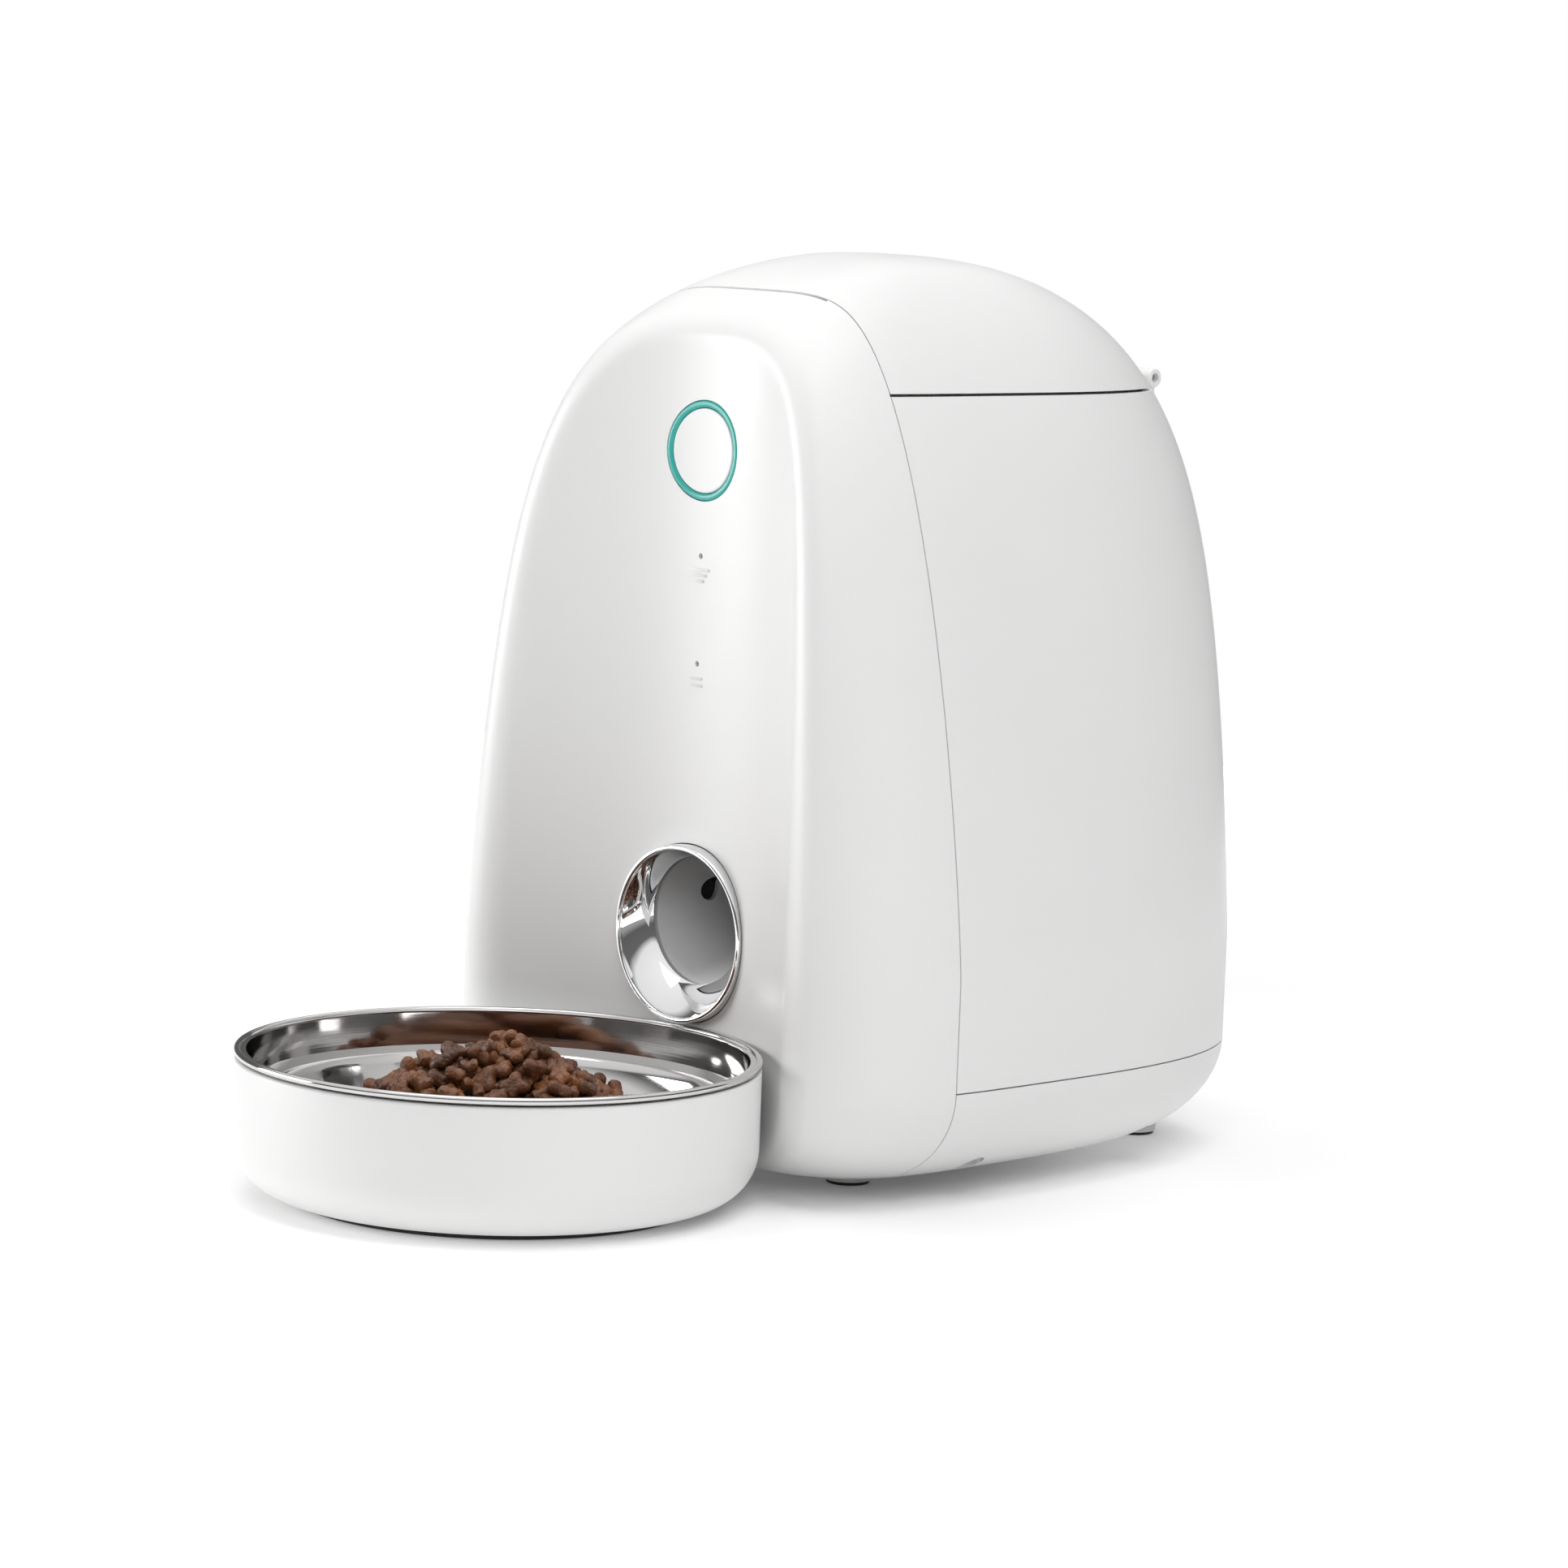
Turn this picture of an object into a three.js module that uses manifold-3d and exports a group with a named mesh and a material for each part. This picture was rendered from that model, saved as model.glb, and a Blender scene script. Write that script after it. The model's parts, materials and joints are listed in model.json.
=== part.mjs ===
// Automatic pet feeder: a loaf-shaped food store with a hinged lid, a motor-driven paddle
// wheel, a chute with a bright ring, and a round bowl that stands in the hollow front.
// Millimetres, +Z up, front towards -Y. The hollow front's middle line is at y = 0.
import * as THREE from "three";
import { ConvexGeometry } from "three/addons/geometries/ConvexGeometry.js";
import { mergeVertices } from "three/addons/utils/BufferGeometryUtils.js";
import Module from "manifold-3d";

const wasm = await Module();
wasm.setup();

// ---------- driving dimensions ----------

const GAP = 0.3; // between pieces that touch
const WALL = 2.4; // moulded shells

// Outer body
const HEIGHT = 307;
const HALF_WIDTH = 108.4;
const WIDEST_Y = 73;
const FRONT_REACH = 107; // from the widest line to the front, before it is hollowed
const REAR_REACH = 137.8;
const HOLLOW_R = 116; // the hollow front, an upright cylinder
const UNDERSIDE = 4.5;
const FLOOR_ROUND = 42.6; // how far the lower edge rounds in
const FLOOR_ROUND_TOP = 39.4; // the height where that rounding starts

// Where the body divides into shells
const SHELL_SEAM_Y = 20.4;
const BASE_SEAM_Z = 39;
const LID_SEAM_Z = 263;
const SEAM = 0.5;
const LID_SEAM = 1;

// Lid hinge
const HINGE_Y = 192.3;
const HINGE_Z = 265.5;
const HINGE_HALF = 28;
const KNUCKLE_R = 3.3;
const KNUCKLE_SPLIT = 15;
const PIN_R = 1.5;

// Front controls, from the top down
const BUTTON_Z = 241;
const BUTTON_R = 14.1;
const RING_LIGHT_R = 16.7;
const MIC_Z = 206;
const LEVEL_Z = 170;
const PINHOLE_R = 0.8;
const BOARD_Y = 15;

// Food outlet
const OUTLET_Z = 79.4;
const RING_R = 30;
const RING_LIP_Y = -5.5;
const TUNNEL_R = 21;
const TUNNEL_Z = 82;
const SENSOR_Y = 34;
const SENSOR_Z = 87;

// Paddle wheel
const WHEEL_Y = 62;
const WHEEL_Z = 131;
const DRUM_R = 32;
const DRUM_HALF = 30;
const DRUM_WALL = 2;
const PADDLES = 6;
const SHAFT_R = 3;

// Gears, module 1
const WHEEL_TEETH = 36;
const PINION_TEETH = 12;
const GEAR_X = 36;
const GEAR_WIDTH = 6;
const GEAR_CENTRES = (WHEEL_TEETH + PINION_TEETH) / 2 + 0.3;
const MOTOR_R = 14;
const MOTOR_LENGTH = 38;

// Bowl
const BOWL_R = 85.3;
const BOWL_HEIGHT = 45.6;
const BOWL_BOTTOM = 2.3;
const BOWL_ROUND = 17;
const BOWL_X = 4; // it stands free, a little off the middle
const BOWL_Y = -86.6;
const BEAD_R = 1.2;

// ---------- materials ----------

function material(color, roughness, metalness = 0) {
  return new THREE.MeshStandardMaterial({ color, roughness, metalness });
}

const white = material(0xeeeeec, 0.42);
const softWhite = material(0xdfe1e1, 0.6);
const chrome = material(0xd8dadc, 0.06, 1);
const steel = material(0xc3c4c4, 0.16, 1);
const teal = material(0x2fb3a8, 0.35);
const rubber = material(0x77797a, 0.85);
const seal = material(0xc9cdcf, 0.8);
const black = material(0x1b1c1e, 0.5);
const boardGreen = material(0x1d5a3a, 0.55);
const brass = material(0xb8964e, 0.3, 1);
const battery = material(0x3b3f45, 0.4);
const gearCream = material(0xe6dfc8, 0.5);

// ---------- solids ----------

// A closed three.js geometry as a manifold-3d solid.
function solid(geometry) {
  const bare = geometry.clone();
  bare.deleteAttribute("normal");
  bare.deleteAttribute("uv");
  const merged = mergeVertices(bare, 1e-4);
  const index = merged.index.array;
  const triangles = [];
  for (let i = 0; i < index.length; i += 3) {
    const [a, b, c] = [index[i], index[i + 1], index[i + 2]];
    if (a !== b && b !== c && c !== a) triangles.push(a, b, c);
  }
  const make = (order) =>
    new wasm.Manifold(
      new wasm.Mesh({
        numProp: 3,
        vertProperties: new Float32Array(merged.attributes.position.array),
        triVerts: new Uint32Array(order),
      }),
    );
  const made = make(triangles);
  return made.volume() >= 0 ? made : make(triangles.reverse());
}

function geometryOf(shape) {
  const mesh = shape.getMesh();
  const position = new Float32Array(mesh.numVert * 3);
  for (let i = 0; i < mesh.numVert; i++) {
    const start = i * mesh.numProp;
    position.set(mesh.vertProperties.subarray(start, start + 3), i * 3);
  }
  return new THREE.BufferGeometry()
    .setAttribute("position", new THREE.BufferAttribute(position, 3))
    .setIndex(new THREE.BufferAttribute(new Uint32Array(mesh.triVerts), 1));
}

// A box between two limits along each axis.
function block([x0, x1], [y0, y1], [z0, z1]) {
  const geometry = new THREE.BoxGeometry(x1 - x0, y1 - y0, z1 - z0);
  geometry.translate((x0 + x1) / 2, (y0 + y1) / 2, (z0 + z1) / 2);
  return solid(geometry);
}

const TURN_TO = {
  x: (g) => g.rotateZ(-Math.PI / 2),
  y: (g) => g,
  z: (g) => g.rotateX(Math.PI / 2),
};

// A round bar along an axis, from one coordinate to another, centred on the other two.
function bar(axis, radius, from, to, centre, sides = 24) {
  const geometry = new THREE.CylinderGeometry(radius, radius, to - from, sides);
  TURN_TO[axis](geometry);
  const middle = (from + to) / 2;
  const place = {
    x: [middle, centre[0], centre[1]],
    y: [centre[0], middle, centre[1]],
    z: [centre[0], centre[1], middle],
  }[axis];
  geometry.translate(...place);
  return solid(geometry);
}

function tube(axis, outer, inner, from, to, centre, sides = 32) {
  const hole = bar(axis, inner, from - 1, to + 1, centre, sides);
  return bar(axis, outer, from, to, centre, sides).subtract(hole);
}

// A turned piece: the profile holds [radius, distance along the axis] pairs.
function turned(axis, profile, sides) {
  const points = profile.map(([r, h]) => new THREE.Vector2(r, h));
  if (points[0].x > 0) points.push(points[0].clone());
  return solid(TURN_TO[axis](new THREE.LatheGeometry(points, sides)));
}

// Points on an arc, angles in degrees.
function arc([cx, cy], radiusX, radiusY, fromDeg, toDeg, steps) {
  return Array.from({ length: steps + 1 }, (_, i) => {
    const angle = THREE.MathUtils.degToRad(fromDeg + ((toDeg - fromDeg) * i) / steps);
    return [cx + radiusX * Math.cos(angle), cy + radiusY * Math.sin(angle)];
  });
}

function join(...shapes) {
  return shapes.reduce((all, shape) => all.add(shape));
}

function cut(shape, ...tools) {
  return tools.reduce((rest, tool) => rest.subtract(tool), shape);
}

// The tight convex skin around some solids.
function hull(...shapes) {
  const points = [];
  for (const shape of shapes) {
    const position = geometryOf(shape).getAttribute("position");
    for (let i = 0; i < position.count; i++) {
      points.push(new THREE.Vector3().fromBufferAttribute(position, i));
    }
  }
  return solid(new ConvexGeometry(points));
}

// ---------- the outer body ----------

// The three reaches of the body's plan. Each is full up to `start`, then closes at the top.
const SIDE = { full: HALF_WIDTH, start: 75, power: 1.2, root: 3.06 };
const FRONT = { full: FRONT_REACH, start: 162, power: 4.75, root: 1.5, corner: 4.2 };
const REAR = { full: REAR_REACH, start: 68, power: 5.3, root: 2.3, corner: 2.7 };

function reach({ full, start, power, root }, z, inset) {
  const rise = THREE.MathUtils.clamp((z - start) / (HEIGHT - inset - start), 0, 1);
  return (full - inset) * (1 - rise ** power) ** (1 / root);
}

// One point of the plan at height z, pulled in by `round` where the lower edge rounds.
function planPoint(angle, z, inset, round) {
  const end = Math.sin(angle) < 0 ? FRONT : REAR;
  const side = Math.sign(Math.cos(angle)) * Math.abs(Math.cos(angle)) ** (2 / end.corner);
  const along = Math.sign(Math.sin(angle)) * Math.abs(Math.sin(angle)) ** (2 / end.corner);
  return [
    (reach(SIDE, z, inset) - round) * side,
    WIDEST_Y + (reach(end, z, inset) - round) * along,
    z,
  ];
}

// The heights of the body's rings, each with how far the lower edge pulls it in.
function ringLevels(inset) {
  const roundSteps = 4;
  const wallSteps = 11;
  const roundHeight = FLOOR_ROUND_TOP - UNDERSIDE - inset;
  const levels = [];
  for (let i = 0; i <= roundSteps; i++) {
    const angle = ((i / roundSteps) * Math.PI) / 2;
    const round = (FLOOR_ROUND - inset) * (1 - Math.sin(angle));
    levels.push([FLOOR_ROUND_TOP - roundHeight * Math.cos(angle), round]);
  }
  for (let i = 1; i < wallSteps; i++) {
    const narrowing = Math.cos(((i / wallSteps) * Math.PI) / 2);
    const rise = (1 - narrowing ** SIDE.root) ** (1 / SIDE.power);
    levels.push([SIDE.start + (HEIGHT - inset - SIDE.start) * rise, 0]);
  }
  return levels;
}

// The whole loaf as one closed solid, `inset` inside the outer surface.
function loaf(inset = 0) {
  const around = 40;
  const rings = ringLevels(inset);
  const position = [];
  const index = [];
  for (const [z, round] of rings) {
    for (let j = 0; j < around; j++) {
      position.push(...planPoint((j / around) * 2 * Math.PI, z, inset, round));
    }
  }
  const bottom = position.length / 3;
  position.push(0, WIDEST_Y, rings[0][0]);
  const top = bottom + 1;
  position.push(0, WIDEST_Y, HEIGHT - inset);
  const last = (rings.length - 1) * around;
  for (let j = 0; j < around; j++) {
    const next = (j + 1) % around;
    index.push(bottom, next, j, top, last + j, last + next);
    for (let row = 0; row < last; row += around) {
      index.push(row + j, row + next, row + around + next);
      index.push(row + j, row + around + next, row + around + j);
    }
  }
  const geometry = new THREE.BufferGeometry();
  geometry.setAttribute("position", new THREE.Float32BufferAttribute(position, 3));
  geometry.setIndex(index);
  return solid(geometry);
}

// The upright cylinder that hollows the front. A wider one leaves a wall behind it.
function hollow(wider = 0) {
  return bar("z", HOLLOW_R + wider, -20, HEIGHT + 20, [0, -HOLLOW_R], 88);
}

const FAR = 400;
const behindSeam = (extra = 0) =>
  block([-FAR, FAR], [SHELL_SEAM_Y + SEAM / 2 + extra, FAR], [-FAR, FAR]);
const inFrontOfSeam = () => block([-FAR, FAR], [-FAR, SHELL_SEAM_Y - SEAM / 2], [-FAR, FAR]);
const between = (low, high) => block([-FAR, FAR], [-FAR, FAR], [low, high]);

const outerBody = loaf().subtract(hollow());
const bodyWall = outerBody.subtract(loaf(WALL).subtract(hollow(WALL)));

// ---------- scene graph ----------

const feeder = new THREE.Group();

function put(name, shape, look, parent = feeder) {
  const mesh = new THREE.Mesh(shape.isBufferGeometry ? shape : geometryOf(shape), look);
  mesh.name = name;
  parent.add(mesh);
  return mesh;
}

// ---------- shells ----------

const BOARD_POSTS = [
  [-24, 166],
  [24, 166],
  [-24, 252],
  [24, 252],
];

function frontShell() {
  const posts = BOARD_POSTS.map(([x, z]) => bar("y", 2.6, -1, BOARD_Y - GAP, [x, z], 10));
  const notch = block([-35, 35], [SHELL_SEAM_Y - SEAM / 2 - 0.9, SHELL_SEAM_Y], [280, HEIGHT]);
  return cut(
    join(bodyWall.intersect(inFrontOfSeam()), ...posts),
    bar("y", RING_R + GAP, -60, 10, [0, OUTLET_Z], 44),
    bar("y", RING_LIGHT_R + GAP, -60, 10, [0, BUTTON_Z], 40),
    bar("y", PINHOLE_R, -60, 10, [0, MIC_Z], 10),
    bar("y", PINHOLE_R, -60, 10, [0, LEVEL_Z], 10),
    notch,
  );
}

// A hinge knuckle between two x limits, run out to a root block on its shell.
function knuckle(from, to, root) {
  const barrel = bar("x", KNUCKLE_R, from, to, [HINGE_Y, HINGE_Z], 20);
  return hull(barrel, block([from, to], ...root));
}

const pinBore = () => bar("x", PIN_R + 0.2, -FAR, FAR, [HINGE_Y, HINGE_Z], 16);
const JACK_Z = 26;
const JACK_R = 5.7;
const SPEAKER = { y: 207.5, z: 76, r: 17 };

function rearHousing() {
  const wall = bodyWall
    .intersect(behindSeam())
    .intersect(between(BASE_SEAM_Z + SEAM / 2, LID_SEAM_Z - LID_SEAM / 2));
  const root = [
    [187.2, 188.8],
    [255, 259],
  ];
  const knuckles = [-1, 1].map((side) => {
    const ends = [side * KNUCKLE_SPLIT, side * HINGE_HALF].sort((a, b) => a - b);
    return knuckle(ends[0], ends[1], root);
  });
  const grille = [0, 1, 2, 3, 4, 5].map((i) => {
    const angle = (i / 6) * 2 * Math.PI;
    const centre = [7 * Math.cos(angle), SPEAKER.z + 7 * Math.sin(angle)];
    return bar("y", 1.4, SPEAKER.y, 230, centre, 8);
  });
  return cut(join(wall, ...knuckles), pinBore(), ...grille);
}

const BATTERY_BAY = { x: 52.5, y0: 70, y1: 147 };
const BASE_SCREWS = [
  [-86, 48],
  [86, 48],
  [-78, 140],
  [78, 140],
];
const POCKET_TOP = 20;
const BOSS_TOP = 26;
const PILOT_TOP = 40;

function base() {
  const tub = bodyWall.intersect(behindSeam()).intersect(between(0, BASE_SEAM_Z - SEAM / 2));
  const bosses = BASE_SCREWS.map((at) => bar("z", 5.5, 0, BOSS_TOP, at, 16));
  const body = join(tub, ...bosses.map((boss) => boss.intersect(outerBody)));
  const { x, y0, y1 } = BATTERY_BAY;
  return cut(
    body,
    block([-x, x], [y0, y1], [0, 10]),
    bar("y", JACK_R + GAP, 190, 230, [0, JACK_Z], 24),
    ...BASE_SCREWS.map((at) => bar("z", 4.2, 0, POCKET_TOP, at, 16)),
    ...BASE_SCREWS.map((at) => bar("z", 1.9, 0, BOSS_TOP + 1, at, 10)),
  );
}

const DESICCANT = { r: 26, z0: 280, z1: 294 };

function lid() {
  const dome = bodyWall.intersect(behindSeam()).intersect(between(LID_SEAM_Z + LID_SEAM / 2, FAR));
  const collar = loaf(WALL - 0.4)
    .intersect(behindSeam(WALL - 0.4))
    .subtract(loaf(WALL + 4).intersect(behindSeam(WALL + 6)))
    .intersect(between(LID_SEAM_Z + LID_SEAM / 2, LID_SEAM_Z + 4));
  const frontWall = outerBody
    .intersect(behindSeam())
    .subtract(behindSeam(WALL))
    .intersect(between(LID_SEAM_Z + LID_SEAM / 2, FAR));
  const post = bar("z", 6, DESICCANT.z1 + GAP, HEIGHT - 1, [0, WIDEST_Y], 16);
  const hinge = knuckle(-KNUCKLE_SPLIT + GAP, KNUCKLE_SPLIT - GAP, [
    [181, 183.5],
    [267.5, 273],
  ]);
  return join(dome, collar, frontWall, post, hinge).subtract(pinBore());
}

// The body's plan at one height, `inset` inside the outer surface, as an upright prism.
function planPrism(z, inset, low, high) {
  const around = 56;
  const shape = new THREE.Shape();
  for (let j = 0; j < around; j++) {
    const [x, y] = planPoint((j / around) * 2 * Math.PI, z, inset, 0);
    if (j === 0) shape.moveTo(x, y);
    else shape.lineTo(x, y);
  }
  const geometry = new THREE.ExtrudeGeometry(shape, { depth: high - low, bevelEnabled: false });
  return solid(geometry.translate(0, 0, low));
}

// The seal is upright, so that it lifts out of a mouth that narrows upwards.
function lidSeal() {
  const low = LID_SEAM_Z - 5;
  const high = LID_SEAM_Z + LID_SEAM / 2 - GAP;
  const inside = planPrism(LID_SEAM_Z, WALL + 4.2, low - 1, high + 1);
  return planPrism(LID_SEAM_Z, WALL + 1.3, low, high)
    .intersect(behindSeam(WALL + 1.5))
    .subtract(inside.intersect(behindSeam(WALL + 4.5)));
}

function desiccantBox() {
  const box = bar("z", DESICCANT.r, DESICCANT.z0, DESICCANT.z1, [0, WIDEST_Y], 32);
  const slots = [-12, -4, 4, 12].map((x) =>
    block([x - 1.2, x + 1.2], [WIDEST_Y - 16, WIDEST_Y + 16], [DESICCANT.z0 - 1, DESICCANT.z0 + 2]),
  );
  return cut(box, ...slots);
}

put("front_shell", frontShell(), white);
put("rear_housing", rearHousing(), white);
put("base", base(), white);
put("lid", lid(), white);
put("lid_seal", lidSeal(), seal);
put("desiccant_box", desiccantBox(), softWhite);
put("hinge_pin", bar("x", PIN_R, -26, 26, [HINGE_Y, HINGE_Z], 16), steel);

// ---------- food path ----------

const MOUTH = { half: 28, y0: 40, y1: 84, z: WHEEL_Z + 35 };

// The hopper's outside, or its inside when `inset` is the wall.
function hopperForm(inset) {
  const slab = (low, high) =>
    loaf(9 + inset).intersect(behindSeam(8 + inset)).intersect(between(low, high));
  const mouth = block(
    [-MOUTH.half - 2 + inset, MOUTH.half + 2 - inset],
    [MOUTH.y0 - 2 + inset, MOUTH.y1 + 2 - inset],
    [MOUTH.z, MOUTH.z + 1],
  );
  return hull(slab(208, 209), slab(252, 254), mouth);
}

function hopper() {
  const inside = join(
    hopperForm(2),
    block([-MOUTH.half, MOUTH.half], [MOUTH.y0, MOUTH.y1], [MOUTH.z - 1, MOUTH.z + 4]),
    hopperForm(2).intersect(between(250, 254)).translate(0, 0, 3),
  );
  const deck = loaf(WALL + GAP).intersect(behindSeam(GAP)).intersect(between(251, 253.5));
  const upstand = loaf(WALL + GAP)
    .intersect(behindSeam(GAP))
    .subtract(behindSeam(1.6))
    .intersect(between(251, LID_SEAM_Z - 1.5));
  return cut(join(hopperForm(0), deck, upstand), inside);
}

function rotorHousing() {
  const low = WHEEL_Z - 40;
  const high = MOUTH.z - GAP;
  const outer = join(
    bar("x", DRUM_R + DRUM_WALL, -DRUM_HALF - DRUM_WALL, DRUM_HALF, [WHEEL_Y, WHEEL_Z], 40),
    block([-DRUM_HALF - DRUM_WALL, DRUM_HALF], [MOUTH.y0 - 2, MOUTH.y1 + 2], [WHEEL_Z, high]),
    block([-26, 26], [WHEEL_Y - 20, WHEEL_Y + 20], [low, WHEEL_Z]),
  );
  return cut(
    outer,
    bar("x", DRUM_R, -DRUM_HALF, DRUM_HALF + 1, [WHEEL_Y, WHEEL_Z], 40),
    block([-DRUM_HALF, DRUM_HALF + 1], [MOUTH.y0, MOUTH.y1], [WHEEL_Z, high + 1]),
    block([-24, 24], [WHEEL_Y - 18, WHEEL_Y + 18], [low - 1, WHEEL_Z]),
    bar("x", SHAFT_R + 0.4, -FAR, 0, [WHEEL_Y, WHEEL_Z], 16),
  );
}

function rotorCover() {
  const x0 = DRUM_HALF + GAP;
  const plate = join(
    bar("x", DRUM_R + DRUM_WALL, x0, x0 + 2, [WHEEL_Y, WHEEL_Z], 40),
    block([x0, x0 + 2], [MOUTH.y0 - 2, MOUTH.y1 + 2], [WHEEL_Z, MOUTH.z - GAP]),
  );
  return plate.subtract(bar("x", SHAFT_R + 0.4, 0, FAR, [WHEEL_Y, WHEEL_Z], 16));
}

// The paddle wheel, about its own axis, along x.
function rotor() {
  const hub = bar("x", 8, -DRUM_HALF + 1, DRUM_HALF - 1, [0, 0], 24);
  const paddles = Array.from({ length: PADDLES }, (_, i) =>
    block([-DRUM_HALF + 1, DRUM_HALF - 1], [-1, 1], [4, DRUM_R - 1]).rotate(
      (i * 360) / PADDLES,
      0,
      0,
    ),
  );
  return join(hub, ...paddles).subtract(bar("x", SHAFT_R + GAP, -FAR, FAR, [0, 0], 16));
}

// A spur gear of module 1 with its face width along x, about its own axis.
function gear(teeth, width, bore, turn) {
  const pitch = teeth / 2;
  const shape = new THREE.Shape();
  const step = (2 * Math.PI) / teeth;
  const flanks = [
    [-0.3, pitch - 1],
    [-0.16, pitch + 0.75],
    [0.16, pitch + 0.75],
    [0.3, pitch - 1],
  ];
  for (let i = 0; i < teeth; i++) {
    for (const [offset, radius] of flanks) {
      const angle = (i + offset + turn) * step;
      const point = [radius * Math.cos(angle), radius * Math.sin(angle)];
      if (shape.curves.length || shape.currentPoint.x) shape.lineTo(...point);
      else shape.moveTo(...point);
    }
  }
  shape.closePath();
  const geometry = new THREE.ExtrudeGeometry(shape, { depth: width, bevelEnabled: false });
  // The outline's x becomes y, its y becomes z, and the extrusion runs along x.
  geometry.rotateX(Math.PI / 2).rotateZ(Math.PI / 2);
  return solid(geometry).subtract(bar("x", bore, -1, width + 1, [0, 0], 16));
}

const COVER_X = DRUM_HALF + GAP + 2 + GAP;
const COVER_END = GEAR_X + GEAR_WIDTH + 5;
const PINION_Y = WHEEL_Y + GEAR_CENTRES;

function gearCover() {
  const y0 = WHEEL_Y - WHEEL_TEETH / 2 - 3.5;
  const y1 = PINION_Y + PINION_TEETH / 2 + 4;
  const half = WHEEL_TEETH / 2 + 3.5;
  const wall = 1.6;
  const outer = block([COVER_X, COVER_END], [y0, y1], [WHEEL_Z - half, WHEEL_Z + half]);
  const inner = block(
    [COVER_X - 1, COVER_END - wall],
    [y0 + wall, y1 - wall],
    [WHEEL_Z - half + wall, WHEEL_Z + half - wall],
  );
  return cut(outer, inner, bar("x", 3, 0, FAR, [PINION_Y, WHEEL_Z], 16));
}

function motorPinion() {
  const stub = bar("x", 2, -1.5, COVER_END - GEAR_X - 0.2, [0, 0], 14);
  return gear(PINION_TEETH, GEAR_WIDTH, 1.5, 0.5).add(stub);
}

function motor() {
  const start = COVER_END + GAP;
  const can = bar("x", MOTOR_R, start, start + MOTOR_LENGTH, [PINION_Y, WHEEL_Z], 32);
  const boss = bar("x", 4, start + MOTOR_LENGTH - 1, start + MOTOR_LENGTH + 2, [PINION_Y, WHEEL_Z]);
  return can.add(boss);
}

put("hopper", hopper(), softWhite);
put("rotor_housing", rotorHousing(), softWhite);
put("rotor_cover", rotorCover(), softWhite);
put("gear_cover", gearCover(), black);
put("gear_motor", motor(), steel);

const wheel = new THREE.Group();
wheel.position.set(0, WHEEL_Y, WHEEL_Z);
feeder.add(wheel);
put("rotor", rotor(), teal, wheel);
put("rotor_shaft", bar("x", SHAFT_R, -DRUM_HALF - 6, GEAR_X + 8, [0, 0], 16), steel, wheel);
put("drive_gear", gear(WHEEL_TEETH, GEAR_WIDTH, SHAFT_R + GAP, 0), gearCream, wheel).position.x =
  GEAR_X;
put("motor_pinion", motorPinion(), brass).position.set(GEAR_X, PINION_Y, WHEEL_Z);

// The chute between the drum's outlet and the tunnel, outside or inside by `inset`.
function chuteForm(inset) {
  const grow = 2 - inset;
  const low = WHEEL_Z - 40 - GAP;
  const tunnel = bar("y", TUNNEL_R + grow, 7 - inset, 9, [0, TUNNEL_Z], 32);
  const inlet = block(
    [-24 - grow, 24 + grow],
    [WHEEL_Y - 18 - grow, WHEEL_Y + 18 + grow],
    [low - 2, low + inset],
  );
  return hull(tunnel, inlet);
}

function outletChute() {
  const underSpout = block(
    [-FAR, FAR],
    [WHEEL_Y - 20 - GAP, FAR],
    [WHEEL_Z - 40 - GAP, FAR],
  );
  return cut(
    chuteForm(0),
    chuteForm(2),
    underSpout,
    bar("x", 3.4, -FAR, FAR, [SENSOR_Y, SENSOR_Z], 16),
  );
}

// The bright ring: an outer collar, a rounded lip and a funnel that narrows inwards.
function chuteRing() {
  const lip = 1;
  const collar = [
    [RING_R, 1.2],
    ...arc([RING_R - lip, RING_LIP_Y + lip], lip, lip, 0, -180, 5),
    ...arc([RING_R - 2 * lip, 3.4], 6.2, 8, -90, -180, 4),
    [TUNNEL_R + 0.8, 5],
    [TUNNEL_R + 2.6, 5],
    [RING_R - 2.6, 1.2],
  ];
  return turned("y", collar, 44).translate(0, 0, OUTLET_Z);
}

put("outlet_chute", outletChute(), softWhite);
put("chute_ring", chuteRing(), chrome);
[-1, 1].forEach((side, i) => {
  const from = side < 0 ? -31 : 24.4;
  const eye = bar("x", 3, from, from + 6.6, [SENSOR_Y, SENSOR_Z], 16);
  put(["outlet_emitter", "outlet_receiver"][i], eye, black);
});

// ---------- front controls ----------

function button() {
  const cap = bar("y", BUTTON_R, -20, 6, [0, BUTTON_Z], 40).subtract(hollow());
  const flange = bar("y", BUTTON_R + 3, 4.9, 6, [0, BUTTON_Z], 40);
  return join(cap, flange, bar("y", 3, 5, 8.6, [0, BUTTON_Z], 16));
}

function lightRing() {
  const ring = tube("y", RING_LIGHT_R, BUTTON_R + GAP, -20, 4.5, [0, BUTTON_Z], 40);
  const flange = tube("y", RING_LIGHT_R + 2.5, RING_LIGHT_R - 1, 2.8, 4.5, [0, BUTTON_Z], 40);
  return join(ring.subtract(hollow()), flange);
}

const BOARD_BACK = BOARD_Y + 1.6;

put("button", button(), white);
put("light_ring", lightRing(), teal);
put("main_board", block([-30, 30], [BOARD_Y, BOARD_BACK], [158, 258]), boardGreen);
put("button_switch", block([-3.5, 3.5], [9.8, BOARD_Y - GAP], [237.5, 244.5]), black);
put("microphone", bar("y", 3, 2.8, BOARD_Y - GAP, [0, MIC_Z], 16), black);
put("level_sensor", bar("y", 2.5, 2.8, BOARD_Y - GAP, [0, LEVEL_Z], 16), black);
put("speaker", bar("y", SPEAKER.r, 193, SPEAKER.y, [0, SPEAKER.z], 24), black);

// ---------- frame, power and feet ----------

const CHASSIS_Z = 44.5;

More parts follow.
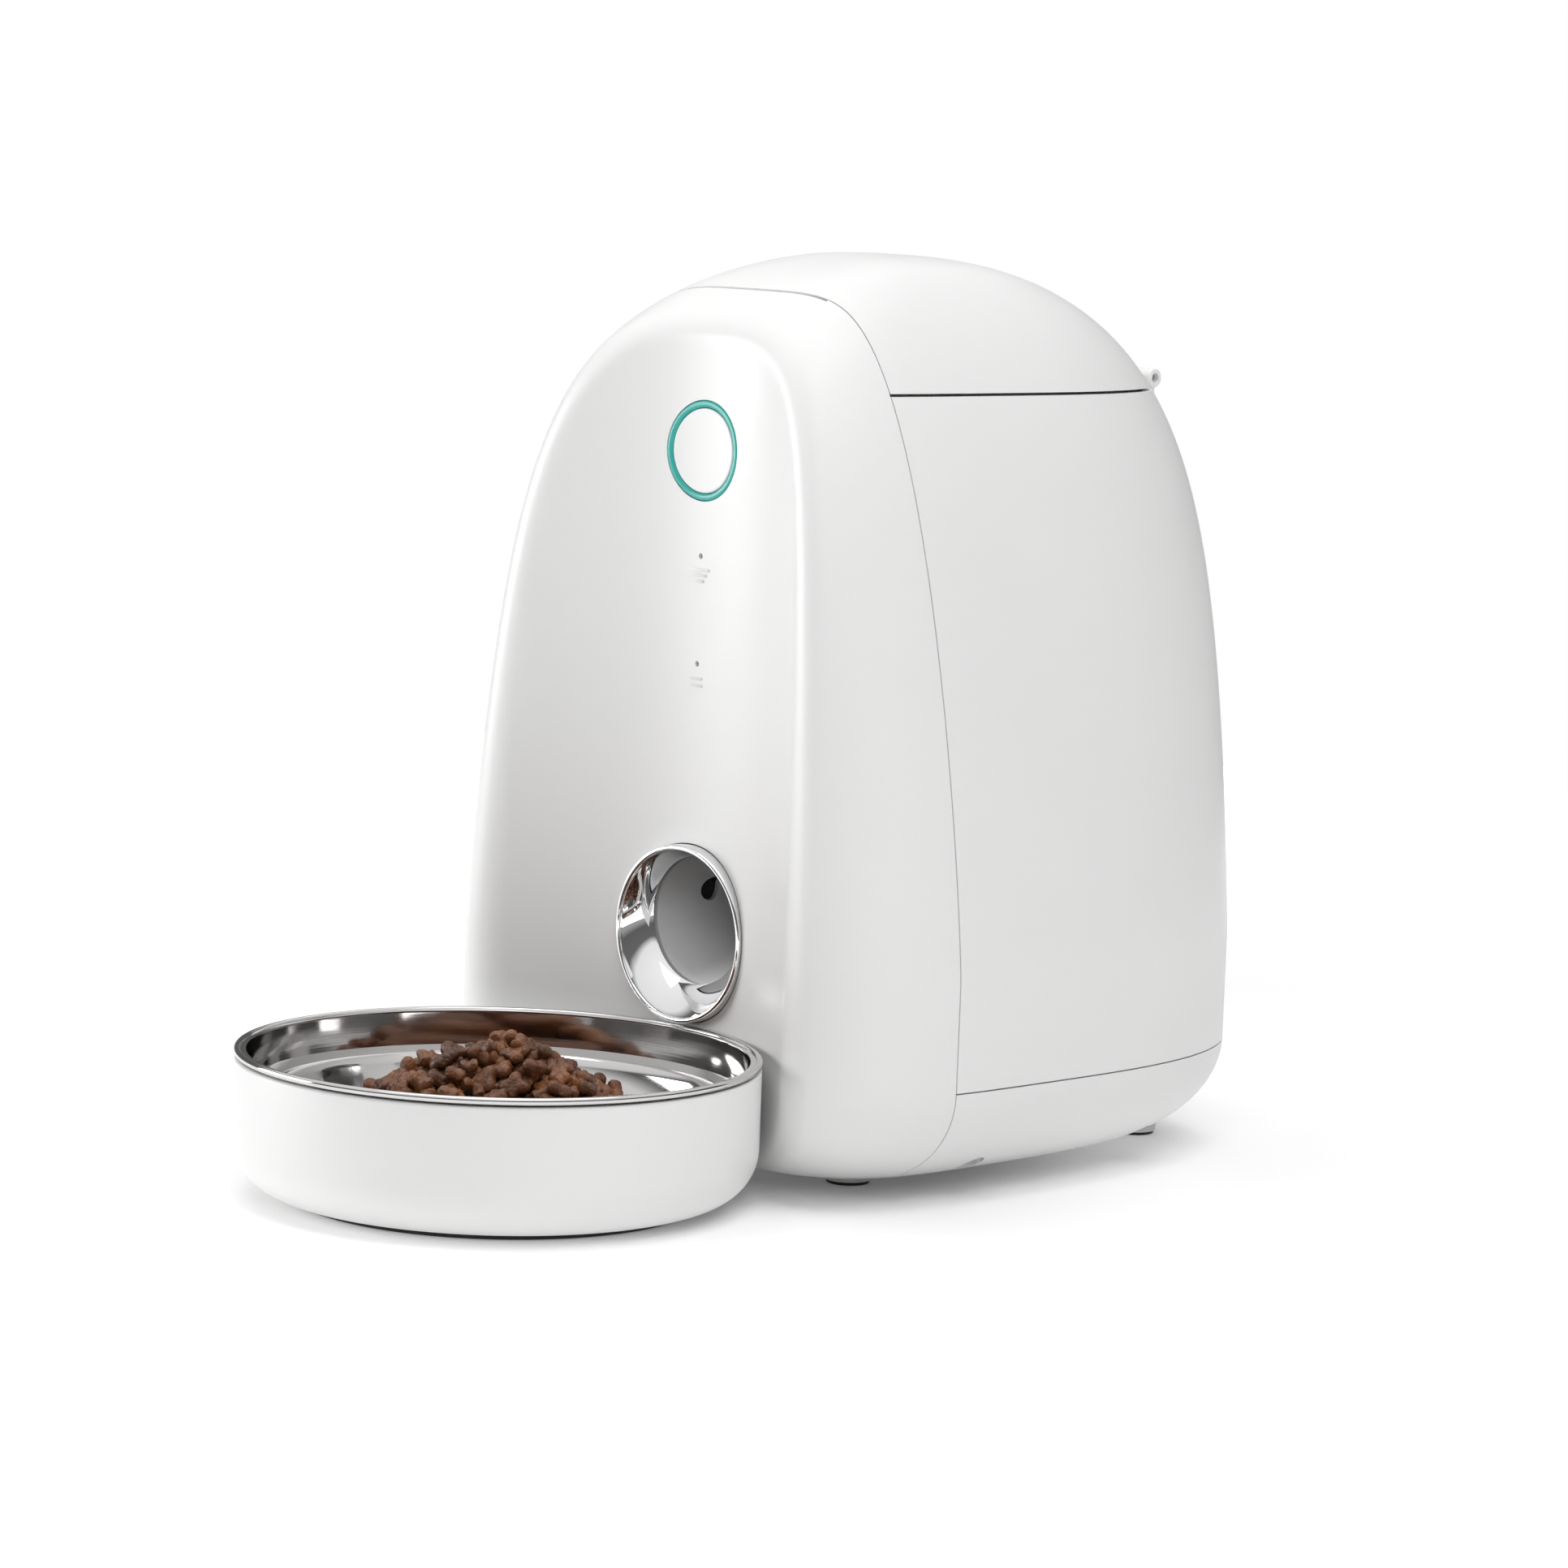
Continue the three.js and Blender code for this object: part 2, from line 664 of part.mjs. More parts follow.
function chassis() {
  const plate = block([-94, 94], [34, 160], [CHASSIS_Z, CHASSIS_Z + 2.4]).intersect(
    loaf(WALL + 6),
  );
  const posts = BASE_SCREWS.map((at) => bar("z", 4.5, BOSS_TOP + GAP, CHASSIS_Z + 1, at, 14));
  const uprights = [
    block([-36.4, -34], [44, 80], [CHASSIS_Z + 1, WHEEL_Z + 10]),
    block([34, 36.4], [44, 80], [CHASSIS_Z + 1, WHEEL_Z - 22.5]),
  ];
  const cradle = block(
    [60, 66],
    [PINION_Y - 8, PINION_Y + 8],
    [CHASSIS_Z + 1, WHEEL_Z - MOTOR_R - GAP],
  );
  const pilots = BASE_SCREWS.map((at) => bar("z", 1.9, BOSS_TOP, PILOT_TOP, at, 10));
  return cut(
    join(plate, ...posts, ...uprights, cradle),
    ...pilots,
    bar("x", SHAFT_R + 0.4, -60, -30, [WHEEL_Y, WHEEL_Z], 16),
  );
}

function powerJack() {
  const sleeve = tube("y", JACK_R, 3.2, 193, 207, [0, JACK_Z], 24);
  return join(
    sleeve,
    bar("y", JACK_R, 191, 194, [0, JACK_Z], 24),
    bar("y", 1, 193, 205, [0, JACK_Z], 10),
  );
}

const CELL = { r: 16.6, length: 61, z: 23.6, pitch: 33.6 };
const BAY_MIDDLE = (BATTERY_BAY.y0 + BATTERY_BAY.y1) / 2;

function batteryBox() {
  const x = BATTERY_BAY.x - GAP;
  const y0 = BATTERY_BAY.y0 + GAP;
  const y1 = BATTERY_BAY.y1 - GAP;
  const inner = block([-x + 1.2, x - 1.2], [y0 + 1.2, y1 - 1.2], [0, CHASSIS_Z - 2.6]);
  return block([-x, x], [y0, y1], [5, CHASSIS_Z - 1]).subtract(inner);
}

// One D cell with its raised contact, its middle at the origin.
function cell() {
  const can = bar("y", CELL.r, -CELL.length / 2, CELL.length / 2 - 1.5, [0, 0], 28);
  return can.add(bar("y", 4.5, 0, CELL.length / 2, [0, 0], 14));
}

function batteryCover() {
  const { x, y0, y1 } = BATTERY_BAY;
  const plate = block([-x - 2.5, x + 2.5], [y0 - 3, y1 + 5], [1.8, UNDERSIDE - GAP]);
  const screwHole = bar("z", 2, 0, 10, [0, y1 + 2.5], 12);
  return plate.subtract(screwHole);
}

// A pan-head screw standing on its head, head down.
function screw(length) {
  return join(bar("z", 3.3, 0, 2, [0, 0], 16), bar("z", 1.4, 1, length, [0, 0], 10));
}

// A round foot under the base, shaped to the rounded underside.
function foot([x, y]) {
  return bar("z", 7.5, 0, 14, [x, y], 24).subtract(loaf(-GAP));
}

put("chassis", chassis(), softWhite);
put("power_jack", powerJack(), black);
put("battery_box", batteryBox(), softWhite);
put("battery_cover", batteryCover(), white);
for (const [i, x] of [-CELL.pitch, 0, CELL.pitch].entries()) {
  put(`battery_${i + 1}`, cell(), battery).position.set(x, BAY_MIDDLE, CELL.z);
}
for (const [name, y] of [
  ["battery_contact_front", BATTERY_BAY.y0 + 2.2],
  ["battery_contact_rear", BATTERY_BAY.y1 - 3.2],
]) {
  put(name, block([-46, 46], [y, y + 1], [8, 38]), brass);
}
const SCREW_NAMES = ["left_front", "right_front", "left_rear", "right_rear"];
BASE_SCREWS.forEach(([x, y], i) => {
  put(`base_screw_${SCREW_NAMES[i]}`, screw(18), steel).position.set(x, y, POCKET_TOP - 2 - GAP);
});
const FEET = [
  [-51.4, 28.6],
  [51.4, 28.6],
  [-46, 178],
  [46, 178],
];
FEET.forEach((at, i) => put(`foot_${SCREW_NAMES[i]}`, foot(at), rubber));

// ---------- bowl ----------

const bowl = new THREE.Group();
bowl.position.set(BOWL_X, BOWL_Y, 0);
feeder.add(bowl);

function bowlShell() {
  const wall = 2.4;
  const outerCentre = [BOWL_R - BOWL_ROUND, BOWL_BOTTOM + BOWL_ROUND];
  return turned(
    "z",
    [
      [0, BOWL_BOTTOM],
      ...arc(outerCentre, BOWL_ROUND, BOWL_ROUND, -90, 0, 6),
      [BOWL_R, BOWL_HEIGHT],
      [BOWL_R - wall, BOWL_HEIGHT],
      ...arc(outerCentre, BOWL_ROUND - wall, BOWL_ROUND - wall, 0, -90, 6),
      [0, BOWL_BOTTOM + wall],
    ],
    54,
  );
}

// The pressed steel liner, with a rolled bead that rests on the bowl's edge.
function steelBowl() {
  const sheet = 0.9;
  const floor = 7.2;
  const wallFoot = 75;
  const wallTop = BOWL_R - 3.2;
  const bead = [BOWL_R - 0.9, BOWL_HEIGHT + GAP + BEAD_R];
  return turned(
    "z",
    [
      [0, floor],
      ...arc([wallFoot - 14, floor + 14], 14, 14, -90, -10, 4),
      [wallTop, BOWL_HEIGHT + GAP],
      ...arc(bead, BEAD_R, BEAD_R, -115, 190, 7),
      [wallTop - sheet, BOWL_HEIGHT + GAP + 0.6],
      ...arc([wallFoot - 14, floor + 14], 14 - sheet, 14 - sheet, -10, -90, 4),
      [0, floor + sheet],
    ],
    54,
  );
}

put("bowl_shell", bowlShell(), white, bowl);
put("steel_bowl", steelBowl(), steel, bowl);
put("bowl_foot_ring", tube("z", 66, 60, 0, BOWL_BOTTOM - GAP, [0, 0], 48), rubber, bowl);

// ---------- origin ----------

// The group's origin is the middle of the whole object's footprint, on the ground.
const frontEnd = BOWL_Y - BOWL_R - BEAD_R + 0.9;
const rearEnd = WIDEST_Y + REAR_REACH;
for (const child of feeder.children) child.position.y -= (frontEnd + rearEnd) / 2;

export default feeder;
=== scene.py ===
"""An automatic pet feeder: the looks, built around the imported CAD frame.

Shapes are worked out in millimetres in the design's own frame, where the middle line of the
hollow front is at y = 0, and placed in metres in the CAD frame by to_frame().
"""
import json
import math

import bpy
import numpy as np
from mathutils import Matrix, Vector


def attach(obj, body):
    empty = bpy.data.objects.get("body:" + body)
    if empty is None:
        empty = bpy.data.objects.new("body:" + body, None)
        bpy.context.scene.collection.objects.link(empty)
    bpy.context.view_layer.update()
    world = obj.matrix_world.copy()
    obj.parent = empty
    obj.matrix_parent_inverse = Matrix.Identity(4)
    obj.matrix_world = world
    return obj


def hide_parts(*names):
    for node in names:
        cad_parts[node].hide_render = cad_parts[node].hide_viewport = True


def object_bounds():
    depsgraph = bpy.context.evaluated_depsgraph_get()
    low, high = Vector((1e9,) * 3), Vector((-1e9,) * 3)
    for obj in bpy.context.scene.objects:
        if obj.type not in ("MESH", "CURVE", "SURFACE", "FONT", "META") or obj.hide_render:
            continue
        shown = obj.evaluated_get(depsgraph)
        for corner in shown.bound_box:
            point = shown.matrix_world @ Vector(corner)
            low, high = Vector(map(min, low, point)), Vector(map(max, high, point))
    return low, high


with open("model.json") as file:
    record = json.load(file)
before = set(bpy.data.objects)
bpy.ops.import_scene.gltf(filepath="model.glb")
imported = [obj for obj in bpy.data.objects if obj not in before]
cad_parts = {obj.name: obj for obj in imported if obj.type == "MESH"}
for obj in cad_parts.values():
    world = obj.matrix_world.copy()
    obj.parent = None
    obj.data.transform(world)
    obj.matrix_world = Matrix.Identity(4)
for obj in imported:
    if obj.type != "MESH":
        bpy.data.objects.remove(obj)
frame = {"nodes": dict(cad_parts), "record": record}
cad_low, cad_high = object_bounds()

# ---------- sizes ----------

MM = 0.001
WALL = 2.4
HEIGHT = 307.0
WIDEST_Y = 73.0
UNDERSIDE = 4.5
FLOOR_ROUND = 42.6
FLOOR_ROUND_TOP = 39.4
HOLLOW_R = 116.0
RIDGE_R = 8.0

# The three reaches of the body's plan: full size, the height where each starts to close in,
# and the two powers of that closing curve. The corner is the plan's superellipse power.
SIDE = {"full": 108.4, "start": 75.0, "power": 1.2, "root": 3.06}
FRONT = {"full": 107.0, "start": 162.0, "power": 4.75, "root": 1.5, "corner": 4.2}
REAR = {"full": 137.8, "start": 68.0, "power": 5.3, "root": 2.3, "corner": 2.7}

SHELL_SEAM_Y = 20.4
BASE_SEAM_Z = 39.0
LID_SEAM_Z = 263.0
SEAM = 0.5
LID_SEAM = 1.0
FAR = 500.0

HINGE_Y, HINGE_Z = 192.3, 265.5
HINGE_HALF, KNUCKLE_SPLIT, KNUCKLE_R, PIN_BORE_R = 28.0, 15.0, 3.3, 1.7
BUTTON_Z, BUTTON_R, LIGHT_RING_R = 241.0, 14.1, 16.7
MIC_Z, LEVEL_Z, PINHOLE_R = 206.0, 170.0, 0.95
OUTLET_Z, RING_R, RING_LIP_Y = 79.4, 30.0, -5.5
TUNNEL_R, TUNNEL_Z = 21.3, 83.4
SENSOR_Y, EYE_Z, EYE_R = 31.6, 89.6, 4.2
BOWL_X, BOWL_Y = 4.0, -86.6
BOWL_R, BOWL_HEIGHT, BOWL_BOTTOM, BOWL_ROUND, BEAD_R = 85.3, 45.6, 2.3, 17.0, 1.2
GAP = 0.3

# A ring of points this small stands for a point on a turned piece's axis.
ON_AXIS = 0.01

# The CAD frame's y is the design's y less this.
SHIFT_Y = WIDEST_Y + REAR["full"] - cad_high.y / MM


def to_frame(points):
    """Design millimetres to metres in the CAD frame."""
    return (np.asarray(points, float) - (0.0, SHIFT_Y, 0.0)) * MM


# ---------- mesh helpers ----------


def new_object(name, points, faces):
    mesh = bpy.data.meshes.new(name)
    mesh.from_pydata(to_frame(points).tolist(), [], [list(map(int, face)) for face in faces])
    mesh.update()
    made = bpy.data.objects.new(name, mesh)
    bpy.context.scene.collection.objects.link(made)
    return made


def smooth(made, sharp_deg=35):
    """Smooth shading, with edges sharper than the angle kept crisp."""
    made.data.polygons.foreach_set("use_smooth", [True] * len(made.data.polygons))
    made.data.set_sharp_from_angle(angle=math.radians(sharp_deg))
    return made


def combine(made, tool, operation, keep_tool=False):
    """One exact boolean, applied to the mesh. The tool is deleted unless it is used again."""
    step = made.modifiers.new("combine", "BOOLEAN")
    step.solver = "MANIFOLD"
    step.operation = operation
    step.object = tool
    bpy.context.view_layer.update()
    shape = made.evaluated_get(bpy.context.evaluated_depsgraph_get())
    result = bpy.data.meshes.new_from_object(shape)
    made.modifiers.clear()
    old = made.data
    made.data = result
    bpy.data.meshes.remove(old)
    if not keep_tool:
        bpy.data.objects.remove(tool)
    return made


def copy_of(made, name):
    twin = made.copy()
    twin.data = made.data.copy()
    twin.name = name
    bpy.context.scene.collection.objects.link(twin)
    return twin


def box(x, y, z):
    """A plain box tool between two limits along each axis."""
    points = [(a, b, c) for a in x for b in y for c in z]
    faces = [(0, 1, 3, 2), (4, 6, 7, 5), (0, 4, 5, 1), (2, 3, 7, 6), (0, 2, 6, 4), (1, 5, 7, 3)]
    return new_object("tool", points, faces)


AXIS_ORDER = {"x": (2, 0, 1), "y": (1, 2, 0), "z": (0, 1, 2)}


def along(axis, flat_and_length):
    """Columns (across, across, along) put on the axes: y takes (z, x, y), x takes (y, z, x)."""
    return np.asarray(flat_and_length, float)[:, AXIS_ORDER[axis]]


def loft(name, rings, closed=False):
    """A skin over rings of points, all of one length. The last ring is joined to the first
    if it is closed, and otherwise both ends are capped."""
    count = len(rings[0])
    points = np.concatenate(rings)
    faces = []
    pairs = len(rings) if closed else len(rings) - 1
    for i in range(pairs):
        here, there = i * count, ((i + 1) % len(rings)) * count
        for j in range(count):
            k = (j + 1) % count
            faces.append((here + j, here + k, there + k, there + j))
    if not closed:
        faces.append(tuple(range(count))[::-1])
        faces.append(tuple(len(points) - count + j for j in range(count)))
    return new_object(name, points, faces)


def circle(radius, count=96):
    angle = np.linspace(0, 2 * math.pi, count, endpoint=False)
    return radius * np.cos(angle), radius * np.sin(angle)


def turned(name, profile, axis="z", centre=(0, 0, 0), count=96, closed=True):
    """A turned piece from (radius, distance along) pairs, with one centre or one for each."""
    centres = np.broadcast_to(np.asarray(centre, float), (len(profile), 3))
    rings = []
    for (radius, height), middle in zip(profile, centres):
        a, b = circle(max(radius, ON_AXIS), count)
        rings.append(along(axis, np.column_stack([a, b, np.full(count, height)])) + middle)
    return loft(name, rings, closed)


def arc(centre, radii, from_deg, to_deg, steps):
    angle = np.radians(np.linspace(from_deg, to_deg, steps + 1))
    return [
        (centre[0] + radii[0] * math.cos(a), centre[1] + radii[1] * math.sin(a)) for a in angle
    ]


def bar(axis, radius, low, high, centre, count=48, edge=0.0):
    """A round bar with its rims rounded by `edge`."""
    if edge:
        profile = [(ON_AXIS, low)]
        profile += arc((radius - edge, low + edge), (edge, edge), -90, 0, 4)
        profile += arc((radius - edge, high - edge), (edge, edge), 0, 90, 4)
        profile += [(ON_AXIS, high)]
    else:
        profile = [(radius, low), (radius, high)]
    return turned("tool", profile, axis, centre, count, closed=False)


# ---------- the body's surface ----------


def reach(limb, z, inset):
    rise = np.clip((z - limb["start"]) / (HEIGHT - inset - limb["start"]), 0, 1)
    return (limb["full"] - inset) * (1 - rise ** limb["power"]) ** (1 / limb["root"])


def loaf(p, inset=0.0):
    """How far outside the loaf each point is, in mm: negative inside."""
    x, y, z = p[:, 0], p[:, 1] - WIDEST_Y, p[:, 2]
    drop = np.clip((FLOOR_ROUND_TOP - z) / (FLOOR_ROUND_TOP - UNDERSIDE - inset), 0, 1)
    tuck = (FLOOR_ROUND - inset) * (1 - np.sqrt(1 - drop**2))
    ahead = y < 0
    width = np.maximum(reach(SIDE, z, inset) - tuck, 0.05)
    length = np.where(ahead, reach(FRONT, z, inset), reach(REAR, z, inset))
    length = np.maximum(length - tuck, 0.05)
    corner = np.where(ahead, FRONT["corner"], REAR["corner"])
    size = ((np.abs(x) / width) ** corner + (np.abs(y) / length) ** corner) ** (1 / corner)
    size = np.maximum(size, 1e-6)
    plan = np.hypot(x, y) * (1 - 1 / size)
    return np.maximum.reduce([plan, UNDERSIDE + inset - z, z - (HEIGHT - inset)])


def body(p, inset=0.0):
    """The loaf with its front hollowed by an upright cylinder and the ridge rounded over."""
    outside = loaf(p, inset)
    in_hollow = HOLLOW_R + inset - np.hypot(p[:, 0], p[:, 1] + HOLLOW_R)
    ridge = RIDGE_R - inset
    over = np.hypot(np.maximum(outside + ridge, 0), np.maximum(in_hollow + ridge, 0))
    return np.minimum(-ridge, np.maximum(outside, in_hollow)) + over


def root_along(field, start, direction, far=400.0, halvings=36):
    """The point on each ray where the field turns positive."""
    near = np.zeros(len(direction))
    reach_out = np.full(len(direction), far)
    for _ in range(halvings):
        middle = (near + reach_out) / 2
        inside = field(start + direction * middle[:, None]) < 0
        near = np.where(inside, middle, near)
        reach_out = np.where(inside, reach_out, middle)
    return start + direction * near[:, None]


def skin(name, field, centre, half, step):
    """The closed surface where a field is zero, found through a grid on a box around it."""
    counts = [max(2, round(2 * h / step)) for h in half]
    quads = []
    stride = (counts[1] + 1) * (counts[2] + 1), counts[2] + 1, 1
    for axis in range(3):
        u, v = [a for a in range(3) if a != axis]
        iu, iv = np.meshgrid(np.arange(counts[u]), np.arange(counts[v]), indexing="ij")
        for end in (0, counts[axis]):
            corners = []
            for du, dv in ((0, 0), (1, 0), (1, 1), (0, 1)):
                place = end * stride[axis] + (iu + du) * stride[u] + (iv + dv) * stride[v]
                corners.append(place.ravel())
            outward = (end > 0) == (axis != 1)
            quads.append(np.column_stack(corners if outward else corners[::-1]))
    quads = np.concatenate(quads)
    keys, index = np.unique(quads, return_inverse=True)
    rows, columns = keys // stride[0], keys // stride[1] % (counts[1] + 1)
    lattice = np.column_stack([rows, columns, keys % stride[1]])
    ray = (2 * lattice / np.asarray(counts) - 1) * np.asarray(half)
    ray /= np.linalg.norm(ray, axis=1)[:, None]
    points = root_along(field, np.asarray(centre, float), ray)
    return new_object(name, points, index.reshape(quads.shape))


def shade_by_field(made, fields, near=0.06, same_way=0.85, step=0.02):
    """Normals from the formula where a face lies on one of the surfaces, so seams and holes
    leave no dents in the shading. The other faces keep their own flat normals."""
    mesh = made.data
    co = np.empty(len(mesh.vertices) * 3)
    mesh.vertices.foreach_get("co", co)
    points = co.reshape(-1, 3) / MM + (0.0, SHIFT_Y, 0.0)
    loop_vertex = np.empty(len(mesh.loops), int)
    mesh.loops.foreach_get("vertex_index", loop_vertex)
    face_normal = np.empty(len(mesh.polygons) * 3)
    mesh.polygons.foreach_get("normal", face_normal)
    face_size = np.empty(len(mesh.polygons), int)
    mesh.polygons.foreach_get("loop_total", face_size)
    loop_normal = np.repeat(face_normal.reshape(-1, 3), face_size, axis=0)
    for field, sign in fields:
        slope = np.column_stack(
            [field(points + d) - field(points - d) for d in np.eye(3) * step]
        )
        slope *= sign / np.maximum(np.linalg.norm(slope, axis=1), 1e-9)[:, None]
        on_surface = np.abs(field(points)) < near
        candidate = slope[loop_vertex]
        agrees = (candidate * loop_normal).sum(1) > same_way
        use = on_surface[loop_vertex] & agrees
        loop_normal[use] = candidate[use]
    mesh.polygons.foreach_set("use_smooth", [True] * len(mesh.polygons))
    mesh.normals_split_custom_set(loop_normal.tolist())
    return made


# ---------- materials ----------


class Look:
    """A Principled material with a small node-building helper."""

    def __init__(self, name, **inputs):
        self.material = bpy.data.materials.new(name)
        self.material.use_nodes = True
        self.tree = self.material.node_tree
        self.shader = self.tree.nodes["Principled BSDF"]
        self.where = self.tree.nodes.new("ShaderNodeTexCoord").outputs["Object"]
        for key, value in inputs.items():
            self.shader.inputs[key.replace("_", " ")].default_value = value

    def node(self, kind, links=(), **values):
        """A node with linked inputs. The values go to its attributes or else to its sockets."""
        made = self.tree.nodes.new("ShaderNode" + kind)
        for key, value in values.items():
            if hasattr(made, key):
                setattr(made, key, value)
            else:
                made.inputs[key.replace("_", " ")].default_value = value
        for socket, source in dict(links).items():
            self.tree.links.new(source, made.inputs[socket])
        return made

    def noise(self, scale, detail):
        made = self.node("TexNoise", {"Vector": self.where}, Scale=scale, Detail=detail)
        return made.outputs["Fac"]

    def link(self, source, socket):
        self.tree.links.new(source, self.shader.inputs[socket])

    def ramp(self, source, stops):
        """A colour ramp through (place, colour) stops, where one number stands for a grey."""
        made = self.node("ValToRGB", {"Fac": source})
        elements = made.color_ramp.elements
        while len(elements) < len(stops):
            elements.new(0.5)
        for element, (place, color) in zip(elements, stops):
            element.position = place
            element.color = (*color, 1.0) if not np.isscalar(color) else (color,) * 3 + (1.0,)
        return made.outputs["Color"]

    def bump(self, source, strength, distance, under=None):
        links = {"Height": source}
        if under:
            links["Normal"] = under
        return self.node("Bump", links, Strength=strength, Distance=distance).outputs["Normal"]


def plastic(name, color, roughness, grain=0.12, spread=0.015):
    """Moulded plastic: a fine spark-eroded grain, faint flow marks, a little unevenness."""
    look = Look(name, Roughness=roughness, IOR=1.47)
    dark = [c * (1 - spread) for c in color]
    cloud = look.noise(9.0, 4.0)
    look.link(look.ramp(cloud, [(0.35, dark), (0.65, color)]), "Base Color")
    patch = look.noise(35.0, 2.0)
    look.link(look.ramp(patch, [(0.3, roughness - 0.03), (0.7, roughness + 0.04)]), "Roughness")
    fine = look.noise(2600.0, 2.0)
    broad = look.noise(18.0, 2.0)
    under = look.bump(broad, strength=0.05, distance=0.0006)
    look.link(look.bump(fine, grain, distance=0.00005, under=under), "Normal")
    return look.material


def throat_plastic():
    """White moulding with painted shade: its colour greys towards the top, where little light gets
    in.
    """
    look = Look("throat_plastic", Roughness=0.5)
    height = look.node("SeparateXYZ", {0: look.where}).outputs["Z"]
    bottom, top = (TUNNEL_Z - TUNNEL_R) * MM, (TUNNEL_Z + TUNNEL_R) * MM
    share = look.node("MapRange", {"Value": height}, From_Min=bottom, From_Max=top)
    # Painted shade: near white at the bottom of the tunnel, dark grey at its top.
    painted_shades = [(0.05, 0.95), (0.5, 0.72), (0.95, 0.24)]
    look.link(look.ramp(share.outputs["Result"], painted_shades), "Base Color")
    return look.material


def metal(name, color, roughness, spin=None, wobble=0.05):
    """Polished metal. With a spin centre (x, y in metres) it has turned polishing lines."""
    look = Look(name, Metallic=1.0, Roughness=roughness)
    cloud = look.noise(14.0, 3.0)
    dark = [c * 0.93 for c in color]
    look.link(look.ramp(cloud, [(0.3, dark), (0.7, color)]), "Base Color")
    patch = look.noise(60.0, 5.0)
    look.link(look.ramp(patch, [(0.3, roughness * 0.75), (0.75, roughness * 1.5)]), "Roughness")
    normal = look.bump(look.noise(22.0, 2.0), wobble, distance=0.001)
    if spin:
        shifted = look.node("VectorMath", {0: look.where}, operation="SUBTRACT")
        shifted.inputs[1].default_value = (*spin, 0.0)
        flat = look.node("VectorMath", {0: shifted.outputs[0]}, operation="MULTIPLY")
        flat.inputs[1].default_value = (1.0, 1.0, 0.0)
        radius = look.node("VectorMath", {0: flat.outputs[0]}, operation="LENGTH")
        height = look.node("SeparateXYZ", {0: look.where})
        terms = {0: radius.outputs["Value"], 1: height.outputs["Z"]}
        total = look.node("Math", terms, operation="ADD")
        lines = look.node("TexNoise", {"W": total.outputs[0]}, noise_dimensions="1D", Scale=1400.0)
        normal = look.bump(lines.outputs["Fac"], 0.05, distance=0.00006, under=normal)
    look.link(normal, "Normal")
    return look.material


def rubber(name, color):
    """Soft rubber with a fine dark speck that is also its grain."""
    look = Look(name, Roughness=0.78)
    speck = look.noise(900.0, 3.0)
    dark = [c * 0.8 for c in color]
    look.link(look.ramp(speck, [(0.35, dark), (0.65, color)]), "Base Color")
    look.link(look.bump(speck, strength=0.3, distance=0.0001), "Normal")
    return look.material


# The centre of the steel bowl's polishing lines, in metres.
BOWL_SPIN = (BOWL_X * MM, (BOWL_Y - SHIFT_Y) * MM)

WHITE = plastic("white_plastic", (0.86, 0.86, 0.855), 0.36)
INNER = plastic("inner_plastic", (0.80, 0.81, 0.81), 0.5, grain=0.2)
TEAL = plastic("teal_plastic", (0.045, 0.45, 0.40), 0.25, grain=0.03, spread=0.1)
BLACK = plastic("black_plastic", (0.018, 0.018, 0.02), 0.45, grain=0.2)
CREAM = plastic("gear_plastic", (0.76, 0.70, 0.54), 0.45)
BOARD = plastic("board", (0.02, 0.13, 0.06), 0.4)
CELL = plastic("cell_can", (0.05, 0.055, 0.065), 0.3)
CHROME = metal("chrome", (0.90, 0.90, 0.905), 0.035, wobble=0.03)
STEEL = metal("steel", (0.55, 0.55, 0.56), 0.22)
BRASS = metal("brass", (0.72, 0.52, 0.24), 0.25)
POLISHED = metal("polished_steel", (0.66, 0.65, 0.645), 0.07, spin=BOWL_SPIN)
THROAT = throat_plastic()
FOOT = rubber("foot_rubber", (0.03, 0.03, 0.032))
SEAL = rubber("seal_rubber", (0.55, 0.57, 0.58))

LOOKS = {
    "white_plastic": WHITE,
    "inner_plastic": INNER,
    "teal_plastic": TEAL,
    "black_plastic": BLACK,
    "gear_plastic": CREAM,
    "board": BOARD,
    "cell_can": CELL,
    "chrome": CHROME,
    "steel": STEEL,
    "brass": BRASS,
    "polished_steel": POLISHED,
    "foot_rubber": FOOT,
    "seal_rubber": SEAL,
}

for part in frame["record"]["subparts"]:
    carried = frame["nodes"][part["node"]]
    carried.data.materials.clear()
    carried.data.materials.append(LOOKS[part["material_slot"]])
    smooth(carried)


def finish_piece(made, name, body_name, slot, *nodes, look=None):
    """Names a piece, gives it its material, ties it to its body and hides the CAD nodes it
    replaces.
    """
    made.name = name
    made.data.name = name
    made.data.materials.clear()
    made.data.materials.append(look or LOOKS[slot])
    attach(made, body_name)
    if nodes:
        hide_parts(*nodes)
    return made


# ---------- shells ----------

GRID = 3.0
# The inner surface is seen only through openings, so a coarser grid does for it.
INNER_GRID = 1.5 * GRID
# Rays leave this centre through a grid on a box with these half sizes.
CENTRE = (0.0, 92.0, 150.0)
HALF = (107.0, 120.0, 150.0)


def outer(p):
    return body(p)


def inner(p):
    return body(p, WALL)


SURFACES = [(outer, 1), (inner, -1)]
outer_solid = skin("outer_solid", outer, CENTRE, HALF, GRID)
inner_solid = skin("inner_solid", inner, CENTRE, HALF, INNER_GRID)
whole_skin = combine(copy_of(outer_solid, "whole_skin"), inner_solid, "DIFFERENCE")


def shell(name, y, z):
    """The part of the body's wall between two limits in y and in z."""
    made = copy_of(whole_skin, name)
    return combine(made, box((-FAR, FAR), y, z), "INTERSECT")


FRONT_EDGE = SHELL_SEAM_Y - SEAM / 2
BEHIND = (SHELL_SEAM_Y + SEAM / 2, FAR)
# From ahead of the front to behind its wall.
THROUGH_FRONT = (-60, 12)
RING_PLAY = 0.15
NOTCH_HALF, NOTCH_DEEP, NOTCH_Z = 35, 0.9, 280


